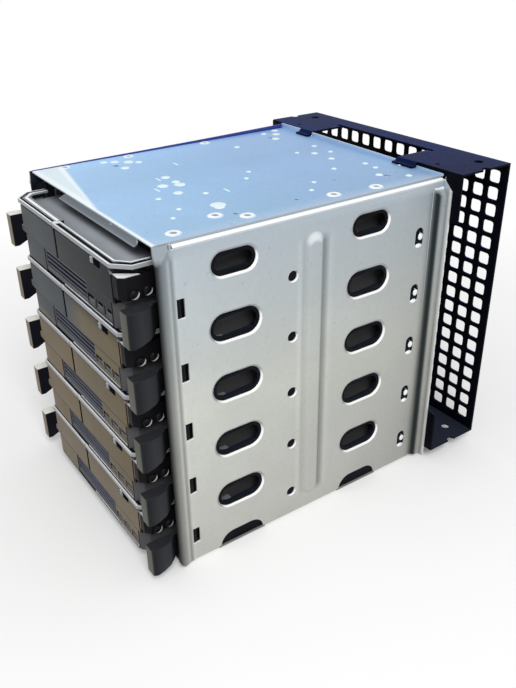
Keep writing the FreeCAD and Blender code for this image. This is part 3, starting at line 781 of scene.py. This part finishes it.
def drawn_ring(length, height, wide, deep):
    """Rim of an opening, curved inwards from the sheet's outer face, drawn round the origin."""
    loops = [[around(-deep, u, v) for u, v in slot_outline(0, 0, length + 1.0, height + 1.0)]]
    for k in range(7):
        angle = math.radians(90 * k / 6)
        inset = wide * (1 - math.sin(angle)) - 0.02
        loops.insert(0, [around(-deep * (1 - math.cos(angle)) + 0.03, u, v)
                         for u, v in slot_outline(0, 0, length + 2 * inset, height + 2 * inset)])
    return Shape().rows(loops)


def web(put):
    """Flat middle of a side panel with its openings."""
    fold = TOP - SHEET - BEND
    outside = [(WEB_START, BEND)]
    for y in SLOT_Y:
        outside += notch(y)
    outside += [(WEB_END, BEND), (WEB_END, TOP - 5.6), (DEPTH - 0.9, TOP - 4.6), (DEPTH - 0.9, fold),
                (BEND_START - 0.6, fold), (BEND_START - 0.6, TOP - 0.05), (WEB_START - 0.4, TOP - 0.05),
                (WEB_START - 0.4, TOP - 4.0), (WEB_START, TOP - 4.4)]
    outlines = [outside]
    for bay in range(BAYS):
        z = tray_z(bay)
        rel, (length, height) = (TOP_SLOT_REL, TOP_SLOT) if bay == BAYS - 1 else (SLOT_REL, SLOT)
        outlines += [slot_outline(y, z + rel, length + 2 * SLOT_RIM, height + 2 * SLOT_RIM) for y in SLOT_Y]
        outlines += [round_outline(ROUND_Y, z + ROUND_REL, ROUND),
                     box_outline(7.0, 10.8, z + 1.5, z + 9.7, 0.4),
                     arc(LANCE_Y - 0.2, z + 8.2, 2.4, 0, 180, 8)
                     + arc(LANCE_Y - 0.2, z + 3.4, 2.4, 180, 360, 8)]
    return Shape().plate(outlines, put, INNER, HALF, 0.1)


def nose_foot(x, y):
    """Lower end of the front edge, rounded towards the front."""
    run = max(0.0, min(NOSE_CURVE, NOSE_CURVE - (y - NOSE)))
    return 0.4 + NOSE_CURVE - math.sqrt(max(0.0, NOSE_CURVE ** 2 - run * run))


def side_panel(side, name, node):
    put, plan_put, front_put = (mirrored_put(way, side) for way in (at_side, at, at_front))
    shape = web(put)
    # bends and seam flanges
    openings = [(y - SLOT[0] / 2, y + SLOT[0] / 2) for y in SLOT_Y]
    low_stretches = [(WEB_START + 1, openings[0][0]), (openings[0][1], openings[1][0]),
                     (openings[1][1], WEB_END)]
    for z0, up, stretches in ((TOP - SHEET, 1, [(BEND_START, DEPTH - 1.0)]), (0.0, -1, low_stretches)):
        centre = (PANEL_EDGE, z0 - up * BEND)
        profile = (arc(*centre, BEND, 0, up * 90, 8) + [(SEAM, z0), (SEAM, z0 - up * SHEET)]
                   + arc(*centre, BEND - SHEET, up * 90, 0, 6))
        for start, end in stretches:
            shape.prism(profile, front_put, start, end)
    for start, end in openings:
        shape.prism([(SEAM, start), (HALF - 4.5, start), (HALF - 4.5, end), (SEAM, end)], plan_put, 0, SHEET)
    # hemmed front edge, stepped outwards, its top sloping back to the panel
    middle = STEP - SHEET
    outline = ([(HALF - 0.06, 7.4), (HALF - 0.06, 5.72), (HALF + 0.14, 5.3), (STEP - 0.14, 1.9)]
               + [(STEP, 1.5 - 0.4 * i) for i in range(5)] + arc(middle, NOSE + SHEET, SHEET, 0, -180, 10)
               + [(HALF, 1.6), (middle, 1.8), (INNER + 0.05, 6.0), (INNER + 0.05, 7.4)])
    shape.prism(outline, plan_put, nose_foot, TOP - 6.2)
    shoulder = [(STEP, TOP - 6.3), (STEP, TOP - 5.6), (HALF, TOP - 2.0), (HALF, TOP - 0.06),
                (INNER + 0.02, TOP - 0.06), (INNER + 0.02, TOP - 2.4), (HALF - 0.02, TOP - 6.3)]
    shape.prism(shoulder, front_put, NOSE, lambda x, z: min(WEB_START, 1.6 + (STEP - x) * 2.5))
    # rear step, the plug that closes its top, and the flange with its upper corner cut off
    start = REAR_START
    outline = [(HALF - 0.05, start - 1.3), (HALF - 0.05, start - 0.2), (HALF + 0.2, start + 0.1),
               (REAR - 0.15, start + 1.75), (REAR, start + 2.1), (REAR, DEPTH - SHEET - 0.5),
               (REAR + 0.3, DEPTH - SHEET), (REAR + 0.3, DEPTH - 0.1), (REAR - 0.3, DEPTH - 0.1),
               (REAR - SHEET, DEPTH - 0.5), (REAR - SHEET, start + 2.4), (INNER + 0.05, start + 0.4),
               (INNER + 0.05, start - 1.3)]
    shape.prism(outline, plan_put, 1.6, lambda x, y: TOP - 4.6 - (x - HALF) * 1.6)
    plug = [(HALF - 0.1, start + 0.6), (HALF + 0.4, start + 0.6), (REAR - 0.3, start + 2.2),
            (REAR - 0.3, DEPTH - 0.3), (HALF - 0.1, DEPTH - 0.3)]
    shape.prism(plug, plan_put, TOP - 12.0, lambda x, y: TOP - 4.75 - (x - HALF) * 1.6)
    flange = [(INNER + 0.1, TOP - 8.0), (REAR - 0.2, 1.6), (FLANGE, 1.6), (FLANGE, TOP - 6.1),
              (HALF, TOP - BEND), (INNER + 0.1, TOP - BEND)]
    shape.prism(flange, front_put, DEPTH - SHEET, DEPTH - 0.05, 0.1)
    # stiffening bead, its upper end running out gently
    rings = []
    for inset, share in ((-0.4, 0.0), (0.0, 0.03), (0.4, 0.14), (0.9, 0.42), (1.3, 0.68), (1.7, 0.88),
                         (2.2, 0.98), (2.7, 1.0)):
        start, end = BEAD_LOW + inset, BEAD_HIGH - inset - 2.4 * share
        outline = slot_outline((start + end) / 2, BEAD_Y, end - start, BEAD_WIDTH - 2 * inset)
        rings.append([put(v, u, HALF - 0.05 + BEAD_RISE * share) for u, v in outline])
    shape.rows(rings, (True, True))
    piece(name, shape, "side", node, angle=34)
    # drawn rims of the openings, and rolled rims of the round holes
    for label, ring, rel, bays, ys in (
            ("slot_rims", drawn_ring(*SLOT, SLOT_RIM, SLOT_DRAWN), SLOT_REL, range(BAYS - 1), SLOT_Y),
            ("top_slot_rims", drawn_ring(*TOP_SLOT, SLOT_RIM, SLOT_DRAWN), TOP_SLOT_REL, [BAYS - 1], SLOT_Y),
            ("hole_rims", drawn_ring(ROUND - 2 * ROUND_RIM, ROUND - 2 * ROUND_RIM, ROUND_RIM, 0.8),
             ROUND_REL, range(BAYS), [ROUND_Y])):
        places = [put(y, tray_z(bay) + rel, HALF) for bay in bays for y in ys]
        repeated(f"{label}_{name}", ring, spots(places, spread=(side, 1, 1)), "drawn", angle=40)
    # flaps in the pierced holes and the lifted lips under them, white with a painted highlight
    flap = Shape()
    for y0, y1, z0, z1, out in ((-1.1, 2.2, -1.7, 2.1, 0.3), (-2.4, 1.6, -5.2, -2.8, 0.5)):
        flap.turned(((1.0, 0.0), (0.96, 0.55), (0.8, 0.85), (0.5, 1.0)), 16,
                    lambda u, v, w: around(-1.0 + (out + 1.0) * w, (y0 + y1 + (y1 - y0) * u) / 2,
                                           (z0 + z1 + (z1 - z0) * v) / 2), (True, True))
    places = [put(LANCE_Y, tray_z(bay) + 6.0, HALF) for bay in range(BAYS)]
    repeated(f"lance_flaps_{name}", flap, spots(places, spread=(side, 1, 1)), "edge", angle=60)


side_panel(1, "side_panel_right", "right_side_panel")
side_panel(-1, "side_panel_left", "left_side_panel")

# top panel with its folded tongue
DARK_HOLES = ((47.7, 43.6, 2.2), (57.2, 36.0, 1.8), (48.1, 73.5, 2.0), (-48.6, 43.0, 1.8), (36.0, 104.0, 1.6))
TAPPED_X, TAPPED_Y, TAPPED = 45.0, (36.0, 127.0), 3.0
TIP = TOP - 5.2
TONGUE_LEFT, TONGUE_RIGHT, TONGUE_CORNER = -19.4, 47.6, 3.6
shape = Shape()
shape.plate([box_outline(-PANEL_EDGE, PANEL_EDGE, 0.0, DEPTH - 1.0, 0.5)]
            + [round_outline(x, y, TAPPED) for x in (-TAPPED_X, TAPPED_X) for y in TAPPED_Y]
            + [round_outline(x, y, size, 14) for x, y, size in DARK_HOLES], at, TOP - SHEET, TOP, 0.12)
tongue = ([(-29.0, TIP + 0.2), (-28.6, TIP)]
          + arc(43.8, TIP + TONGUE_CORNER, TONGUE_CORNER, -90, 0, 8)
          + [(TONGUE_RIGHT, TIP + 4.0), (TONGUE_RIGHT, TOP - 0.4), (TONGUE_LEFT, TOP - 0.4)])
shape.plate([tongue, box_outline(25.0, 26.6, TOP - 1.6, TOP - 0.9, 0.2)], at_front, 0.02, SHEET, 0.12)
shape.prism(arc(SHEET, TOP - SHEET, SHEET, 90, 180, 6) + [(SHEET, TOP - SHEET)],
            lambda u, v, w: at(w, u, v), TONGUE_LEFT, TONGUE_RIGHT)
piece("top_sheet", shape, "top", "top_panel")

# dark floor wings that close the openings across the bottom bends, and the sills under them
wings, sills = Shape(), Shape()
for side in (-1, 1):
    for y in SLOT_Y:
        x0, x1 = sorted((side * (INNER - 0.9), side * (INNER - 0.1)))
        wings.block(x0, x1, y - 15.0, y + 15.0, SHEET, tray_z(-1) + SLOT_REL + SLOT[1] / 2 + 2.4, 0.1)
        x0, x1 = sorted((side * (INNER - 0.9), side * (HALF - 0.1)))
        sills.block(x0, x1, y - 12.8, y + 12.8, 0.05, SHEET, 0.1)
piece("bend_wings", wings, "rail")
piece("bend_sills", sills, "sill")

# raised lips along the left and rear edges of the top panel
lip = [(0.6, -0.3), (DEPTH - 0.2, -0.3), (DEPTH - 0.2, 1.9), (100.0, 1.1), (60.0, 0.6), (20.0, 0.3),
       (0.6, 0.1)]
piece("top_lip_left", Shape().prism([(y, TOP + rise) for y, rise in lip], at_side, -61.5, -60.8, 0.1), "blue")
shape = Shape()
for x0, x1, z0, z1 in ((-61.0, -44.3, 2.3, 2.3), (-33.6, 30.8, 2.1, 1.3), (44.2, 60.6, 1.0, 0.9)):
    shape.prism([(x0, TOP - 0.3), (x1, TOP - 0.3), (x1, TOP + z1), (x0, TOP + z0)], at_front,
                DEPTH - 1.2, DEPTH - 0.3, 0.1)
piece("top_lip_rear", shape, "lip")

# drawn screw holes, rivets and pressed marks in the top panel
BIG = ((52.9, 12.7), (45.3, 35.6), (52.9, 45.7), (52.6, 89.6), (55.0, 111.2))
SMALLER = ((-56.4, 15.1), (-56.5, 92.5), (-56.3, 48.3))
MARKS = (
    (34.6, 43.5, 2.3), (37.4, 42.4, 1.5), (10.7, 38.4, 1.5), (-12.9, 45.2, 1.5), (-1.9, 37.9, 1.7),
    (0.6, 45.0, 1.8), (-4.2, 45.6, 1.3), (-51.4, 38.2, 1.5), (13.1, 27.7, 0.9), (29.8, 28.0, 0.8),
    (38.0, 20.8, 0.7), (18.2, 47.6, 0.9), (-53.8, 33.6, 1.3), (-47.2, 43.6, 1.7), (-44.0, 47.4, 1.2),
    (-38.6, 37.6, 1.5), (-38.9, 101.1, 1.1), (-57.0, 138.0, 1.4), (-41.3, 127.3, 1.5), (-49.4, 133.6, 1.5),
    (-54.0, 128.5, 1.1), (2.3, 80.4, 0.8), (10.5, 73.6, 0.8), (-16.4, 133.8, 1.0), (-5.0, 125.0, 1.2),
    (-11.0, 118.6, 0.8), (-2.6, 133.2, 0.9), (7.8, 125.3, 1.1), (22.2, 114.8, 0.9), (24.2, 132.4, 1.0),
    (32.4, 131.4, 0.9), (42.2, 124.6, 1.2), (51.2, 134.4, 1.1), (36.2, 143.7, 0.8), (33.5, 94.0, 0.8),
    (41.9, 86.0, 0.8))
DASHES = ((2.0, 33.0), (-12.0, 41.0), (20.0, 57.0), (-30.0, 60.0))
ring = Shape().turned(((3.3, 0.0), (3.0, 0.24), (2.5, 0.46), (2.0, 0.5), (1.6, 0.4), (1.35, 0.14),
                       (1.3, 0.03)), 20, around)
centre = Shape().turned(((1.45, 0.0), (1.4, 0.12), (0.7, 0.06)), 14, around, (False, True))
dome = Shape().turned(((1.5, -0.05), (1.35, 0.16), (0.95, 0.3), (0.4, 0.36)), 14, around, (False, True))
dash = Shape().prism(slot_outline(0, 0, 5.0, 1.0, 4), around, -0.05, 0.12, 0.04)
holes = (spots([at(x, y, TOP) for x, y in BIG])
         + spots([at(x, y, TOP) for x, y in SMALLER], spread=(0.85, 0.85, 0.9)))
repeated("drawn_holes", ring, holes, "ring", angle=50)
repeated("drawn_hole_centres", centre, holes, "brown", angle=50)
marks = [(at(x, y, TOP), (0, 0, 0), (size, size, 1)) for x, y, size in MARKS]
repeated("pressed_marks", dome, marks, "mark", angle=60)
repeated("pressed_dashes", dash, spots([at(x, y, TOP) for x, y in DASHES]), "mark")

# --- mesh bracket ---------------------------------------------------------------------------------
B_HALF, B_LOW, B_TOP = BRACKET_HIGH.x / MM, BRACKET_LOW.z / MM, BRACKET_HIGH.z / MM
PLATE = 1.0
COLUMNS, ROWS, STEP_X, STEP_Z = 15, 17, 9.02, 8.25
HOLE_X, HOLE_Z = 6.1, 6.0
NET_X, NET_Z = 0.7, (B_LOW + B_TOP) / 2 + 0.8
EAR_X = B_HALF - 9.4
LEG_Y = MESH_Y - 10.5
LEG_LEFT, LEG_RIGHT = 34.0, 31.0
TAB_OUTER = 44.0
FASTENER_X, FASTENER = 60.5, 4.2
PILOT_X, PILOT = 52.0, 2.0


def hole_outline(grow, corner):
    x, z = HOLE_X / 2 + grow, HOLE_Z / 2 + grow
    return box_outline(-x, x, -z, z, corner, 2)


def mesh_cell():
    """One hole of the mesh and the metal round it, drawn round the origin."""
    inner, wider = hole_outline(0.0, 1.2), hole_outline(0.15, 1.3)
    edge = []
    for u, v in inner:
        reach = max(abs(u) / (STEP_X / 2), abs(v) / (STEP_Z / 2))
        edge.append((u / reach, v / reach))
    edge[1::3] = [(sx * STEP_X / 2, sz * STEP_Z / 2) for sx, sz in ((1, -1), (1, 1), (-1, 1), (-1, -1))]
    return Shape().rows([[around(u, v, w) for u, v in loop] for loop, w in (
        (edge, 0.5), (wider, 0.5), (inner, 0.35), (inner, -0.35), (wider, -0.5), (edge, -0.5))])


model = linked("cell_model", mesh_cell().mesh("cell_model"))
lattice = perforated_sheet().grow(
    bpy.data.meshes.new("none"), Cell=model, Columns=COLUMNS, Rows=ROWS, Width=(COLUMNS - 1) * STEP_X * MM,
    Height=(ROWS - 1) * STEP_Z * MM, Finish=FINISHES["paint"])
bpy.data.objects.remove(model)
lattice.transform(Matrix.Translation(at(NET_X, MESH_Y - PLATE / 2, NET_Z))
                  @ Matrix.Rotation(math.radians(90), 4, "X"))
shape = Shape()
shape.bm.from_mesh(lattice)
bpy.data.meshes.remove(lattice)
net = [(NET_X + sx * COLUMNS * STEP_X / 2, NET_Z + sz * ROWS * STEP_Z / 2)
       for sx, sz in ((-1, -1), (1, -1), (1, 1), (-1, 1))]
shape.plate([box_outline(-B_HALF, B_HALF, B_LOW, B_TOP), net], at_front, MESH_Y - PLATE, MESH_Y, 0.02)
# flanges: notched at the sides, cut out in front between two legs
right = [(34.0, LEG_Y), (LEG_RIGHT, DEPTH), (B_HALF - 0.4, DEPTH), (B_HALF, DEPTH + 0.4),
         (B_HALF, MESH_Y - 18.6), (B_HALF - 2.2, MESH_Y - 17.5), (B_HALF - 2.2, MESH_Y - 15.1),
         (B_HALF, MESH_Y - 14.0), (B_HALF, MESH_Y - PLATE), (B_HALF - 1.0, MESH_Y)]
left = [(-x, y) for x, y in reversed(right)]
left[-2:] = [(-LEG_LEFT, DEPTH), (-38.0, LEG_Y)]
holes = [round_outline(x, MESH_Y - 9.5, FASTENER) for x in (-FASTENER_X, FASTENER_X)]
pilots = [round_outline(x, DEPTH + 4.6, PILOT, 12) for x in (-PILOT_X, PILOT_X)]
shape.plate([left + right] + holes + pilots, at, B_TOP - PLATE, B_TOP, 0.15)
shape.plate([left + right] + holes, at, B_LOW, B_LOW + PLATE, 0.15)
for side, inner in ((-1, LEG_LEFT), (1, LEG_RIGHT)):
    front_put = mirrored_put(at_front, side)
    for tip, way in ((B_TOP, -1), (B_LOW, 1)):
        ear = [(EAR_X, tip + way * 24.5), (B_HALF, tip + way * 22.5), (B_HALF, tip + way * 0.5),
               (EAR_X, tip + way * 0.5)]
        shape.prism(ear, front_put, DEPTH, DEPTH + PLATE, 0.2)
    # tab that steps down onto the cage, and the lip folded down along the leg's front edge
    drop = B_TOP - PLATE - TOP
    profile = [(DEPTH - 4.0, TOP + 0.02), (DEPTH - drop, TOP + 0.02), (DEPTH, TOP + drop),
               (MESH_Y - 12.5, TOP + drop), (MESH_Y - 12.5, TOP + drop + 0.98),
               (DEPTH - 0.5, TOP + drop + 0.98), (DEPTH - drop - 0.5, TOP + 1.0), (DEPTH - 4.0, TOP + 1.0)]
    x0, x1 = sorted((side * inner, side * TAB_OUTER))
    shape.prism(profile, at_side, x0, x1, 0.12)
    shape.prism([(TAB_OUTER, TOP - 0.4), (61.8, TOP - 0.4), (61.8, B_TOP - 0.5), (TAB_OUTER, B_TOP - 0.5)],
                front_put, DEPTH + 0.05, DEPTH + 0.9, 0.1)
piece("perforated_bracket", shape, "paint", "mesh_bracket", slot="mesh_black")

# --- trays ----------------------------------------------------------------------------------------
FACE = -12.0
RIM_FRONT, RIM_REAR = -12.9, 2.2
RIM_SLANT, RIM_MITRE = 6.2, 0.4
RIBS, RIB_REL, RIB_STEP = 3, 1.8, 2.15
SCREW_X = 56.0
TRAY_EDGE, LATCH_EDGE = 0.25, 0.3
TAB_TRIM, TAB_SHARE = -1.5, 0.52


def softened(node, width, finish, body, slot="tray_plastic", reshape=None):
    """A CAD piece with its edges broken, as a mould leaves them."""
    part = bmesh.new()
    part.from_mesh(frame["nodes"][node].data)
    bmesh.ops.remove_doubles(part, verts=part.verts, dist=2e-6)
    if reshape:
        for vertex in part.verts:
            vertex.co = reshape(vertex.co)
    bmesh.ops.dissolve_limit(part, angle_limit=math.radians(1.0), verts=part.verts, edges=part.edges)
    broken_edges(part, width, 25, shortest=1.2 * width * MM, clamped=False)
    piece(node + "_moulded", written(part, node), finish, node, body=body, slot=slot, angle=35)


def trimmed_tab(bay):
    """Moves the lower end of a right finger tab up a little, so that it clears the tray below."""
    def reshape(place):
        rel = place.z / MM - tray_z(bay)
        if rel < TAB_TRIM and place.y < FRONT:
            place.z = (tray_z(bay) + TAB_TRIM + (rel - TAB_TRIM) * TAB_SHARE) * MM
        return place
    return reshape


def rim_path(seam, start, back, side=1):
    """Half of the rim, set back: from the covers' seam along the front, round the slant and back."""
    front, out, turn = RIM_FRONT + back, start + RIM_SLANT - back * RIM_MITRE, RIM_SLANT + back * RIM_MITRE
    return [(seam, front), (side * start, front), (side * out, RIM_FRONT + turn), (side * out, RIM_REAR)]


def ribbon(shape, path, width, z0, z1):
    """Flat bar that follows a path in plan."""
    left, right = [], []
    for i, (x, y) in enumerate(path):
        before = Vector(path[max(i - 1, 0)])
        after = Vector(path[min(i + 1, len(path) - 1)])
        along = (after - before).normalized()
        across = Vector((-along.y, along.x))
        reach = width / 2
        if 0 < i < len(path) - 1:
            one = (Vector(path[i]) - before).normalized()
            reach /= max(0.5, abs(across.dot(Vector((-one.y, one.x)))))
        left.append((x + across.x * reach, y + across.y * reach))
        right.append((x - across.x * reach, y - across.y * reach))
    shape.prism(left + right[::-1], at, z0, z1, 0.1)


def tray_front(bay):
    """Trim on a tray's front, whose covers have their faces at FACE."""
    z = tray_z(bay)
    own = {"body": f"tray_{bay + 1}", "slot": "tray_plastic"}

    def add(label, shape, finish):
        piece(f"{label}_{bay + 1}", shape, finish, **own)

    def raised(*outline):
        return [(x, z + rel) for x, rel in outline]

    def blocks(*boxes):
        shape = Shape()
        for x0, x1, y0, y1, low, high, soft in boxes:
            shape.block(x0, x1, y0, y1, z + low, z + high, soft)
        return shape

    # raised panels of the covers, with grooves between them
    panels = Shape()
    for outline in (raised((-45.4, 9.4), (-5.9, 9.4), (-5.9, 22.4), (-45.4, 22.4)),
                    raised((-4.1, 9.4), (49.2, 9.4), (49.2, 20.9), (47.2, 22.4), (-4.1, 22.4))):
        panels.prism(outline, at_front, FACE - 0.4, FACE + 0.7, 0.18)
    panels.prism(raised((-43.8, -1.6), (-21.6, -1.6), (-21.6, 8.7), (-43.8, 8.7)), at_front,
                 FACE - 0.3, FACE + 0.5, 0.15)
    openings = [box_outline(x - 3.2, x + 3.2, z + 0.6, z + 4.6) for x in (27.4, 35.2, 43.0)]
    panels.plate([raised((23.6, -1.6), (46.8, -1.6), (46.8, 8.7), (23.6, 8.7))] + openings, at_front,
                 FACE - 0.3, FACE + 0.5)
    add("front_panels", panels, "tray")
    # painted highlights on the rim, as bright beads: a broad band on the left, two thin lines on the right
    beads = Shape()
    for path, width, low, high in ((rim_path(-4.6, 50.0, 0.3), 0.7, 23.7, 25.35),
                                   (rim_path(-5.4, 46.0, 0.3, -1), 0.7, 23.7, 25.35),
                                   (rim_path(-4.6, 48.2, 3.0), 0.9, 24.4, 25.5)):
        ribbon(beads, path, width, z + low, z + high)
    beads.prism([(-5.8, -12.6), (-3.0, -12.6), (-2.2, -10.4), (-5.0, -10.0)], at, z + 24.6, z + 25.45, 0.12)
    add("rim_beads", beads, "rim")
    band = Shape()
    ribbon(band, [(-5.6, -9.9)] + rim_path(-5.6, 44.0, 3.3, -1)[1:], 1.5, z + 24.4, z + 25.45)
    band.prism([(-50.9, -7.2), (-47.6, -8.4), (-47.6, -0.8), (-50.9, -0.8)], at, z + 22.0, z + 24.6, 0.15)
    add("rim_band", band, "band")
    add("cover_seam", blocks((-5.85, -4.15, -12.25, -11.8, 9.3, 22.3, 0.05)), "dark")
    # dark recess, and a pale lip along the lower edge with a painted highlight
    add("front_recess", blocks((-43.5, 46.2, -12.25, -11.6, -2.3, -1.4, 0.1)), "dark")
    add("front_lip", blocks((-1.0, 46.2, -12.4, -12.1, -1.35, -0.75, 0.1)), "rim")
    # dark grooves between the beads
    grooves = Shape()
    for path, width in ((rim_path(-2.6, 49.2, 1.65), 1.3), (rim_path(-5.8, 45.4, 1.3, -1), 0.9)):
        ribbon(grooves, path, width, z + 24.8, z + 25.24)
    add("rim_grooves", grooves, "dark")
    # ledge above the end block, bright with a painted highlight
    ledge = [(49.6, -11.9), (54.2, -12.0), (55.9, -10.0), (55.9, -3.6), (55.0, -4.2)]
    add("end_ledge", Shape().prism(ledge, at, z + 20.9, z + 21.25, 0.12), "rim")
    # dark beds behind the grille and the three openings, and the grille's ribs
    add("grille_bed", blocks((-20.3, 22.3, -11.3, -10.9, 0.8, 7.9, 0.1),
                             (23.8, 46.6, -11.46, -10.9, 0.2, 5.0, 0.1)), "dark")
    section = [(-20.4, -0.7), (22.4, -0.7), (22.4, -0.1), (22.1, 0.55), (-20.1, 0.55), (-20.4, -0.1)]
    rib = Shape().prism(section, lambda u, v, w: around(u, w, v), -0.5, 0.5, 0.12)
    places = [at(0, FACE + 0.5, z + RIB_REL + RIB_STEP * i) for i in range(RIBS)]
    repeated(f"grille_ribs_{bay + 1}", rib, spots(places, spread=(1, 1, 0.5)), "rib", **own)
    # clip under the rim, with dark gaps beside it
    add("rim_clip", blocks((32.4, 34.6, -12.95, -11.8, 20.4, 22.9, 0.35)), "band")
    add("rim_catch", blocks((35.2, 40.2, -12.75, -11.8, 20.2, 22.8, 0.3),
                            (31.2, 32.2, -12.6, -11.8, 20.2, 22.8, 0.2)), "dark")
    # two screws in the end block
    head = Shape().turned(((2.1, -0.1), (2.0, 0.35), (1.75, 0.75), (1.3, 1.0), (0.6, 1.1)), 20,
                          lambda u, v, w: around(w, u, v), (False, True))
    places = [at(SCREW_X, y, z + rel) for y, rel in ((-6.7, 13.8), (-1.2, 14.2))]
    repeated(f"end_screws_{bay + 1}", head, spots(places), "screw", angle=50, **own)


for bay in range(BAYS):
    tray = f"tray_{bay + 1}"
    softened(f"{tray}_sled", TRAY_EDGE, "sled", tray)
    for side in ("left", "right"):
        softened(f"{tray}_cover_{side}", TRAY_EDGE, "tray", tray)
        softened(f"{tray}_latch_{side}", LATCH_EDGE, "latch", f"{tray}_latch_{side}_arm", "latch_plastic",
                 trimmed_tab(bay) if side == "right" else None)
    tray_front(bay)

for name, node in frame["nodes"].items():
    finish = "rail" if name.startswith("rail") else "inside" if name == "bottom_panel" else None
    if finish:
        node.data.materials.clear()
        node.data.materials.append(FINISHES[finish])

# --- floor, light and camera ----------------------------------------------------------------------
FLOOR_REACH, FLOOR_Z = 4, -0.0003
FADE_START, FADE_END, FADE_LEAST = 0.1, 0.42, 0.1
WORLD_LIGHT = 0.55
KEY_PLACE, KEY_TARGET, KEY_SIZE, KEY_POWER = (0.69, -0.32, 0.87), (0, 0, 0.08), 0.5, 7.2
AZIMUTH, ELEVATION, ROLL = math.radians(55.660), math.radians(28.643), math.radians(-0.871)
CAMERA_PLACE, LENS, SENSOR = at(287.55, -110.70, 249.52), 39.437, 36.0

world = bpy.data.worlds.new("studio")
bpy.context.scene.world = world
world.use_nodes = True
studio = Nodes(world.node_tree)
back = world.node_tree.nodes["Background"]
studio.feed(back.inputs["Color"], (1, 1, 1, 1))
studio.feed(back.inputs["Strength"], studio.seen_plainly() * (1.0 - WORLD_LIGHT) + WORLD_LIGHT)

floor_mesh = bpy.data.meshes.new("floor")
floor_mesh.from_pydata([(sx * FLOOR_REACH, sy * FLOOR_REACH, FLOOR_Z)
                        for sx, sy in ((-1, -1), (1, -1), (1, 1), (-1, 1))], [], [(0, 1, 2, 3)])
paper = Finish("pale_floor")
floor_mesh.materials.append(paper.done(colour=(0.97, 0.97, 0.97, 1), rough=0.9, shine=0.1))
# white far from the object, and the plain lit floor with the object's shadow close to it
far = paper.node("ShaderNodeVectorMath", {"operation": "LENGTH"}, {0: paper.place}, out="Value")
fade = far.clipped(FADE_START, FADE_END) * (1.0 - FADE_LEAST) + FADE_LEAST
share = fade * paper.seen_plainly()
lit, white = Value(paper, paper.shader.outputs[0]), paper.node("ShaderNodeEmission")
paper.feed(paper.tree.nodes["Material Output"].inputs["Surface"],
           paper.node("ShaderNodeMixShader", {}, {0: share, 1: lit, 2: white}))
linked("floor", floor_mesh)

light = bpy.data.lights.new("key", "AREA")
light.shape = "DISK"
light.size = KEY_SIZE
light.energy = KEY_POWER
key = linked("key", light)
key.location = KEY_PLACE
key.rotation_mode = "QUATERNION"
key.rotation_quaternion = (Vector(KEY_TARGET) - Vector(KEY_PLACE)).to_track_quat("-Z", "Y")

away = Vector((math.sin(AZIMUTH) * math.cos(ELEVATION), -math.cos(AZIMUTH) * math.cos(ELEVATION),
               math.sin(ELEVATION)))
across = Vector((0, 0, 1)).cross(away).normalized()
upward = away.cross(across)
right_way = across * math.cos(ROLL) + upward * math.sin(ROLL)
up_way = upward * math.cos(ROLL) - across * math.sin(ROLL)
camera_data = bpy.data.cameras.new("camera")
camera_data.lens = LENS
camera_data.sensor_width = SENSOR
camera_data.clip_start = 0.01
camera = linked("camera", camera_data)
camera.matrix_world = Matrix.Translation(CAMERA_PLACE) @ Matrix(
    (right_way, up_way, away)).transposed().to_4x4()
bpy.context.scene.camera = camera
bpy.context.scene.view_settings.view_transform = "Standard"
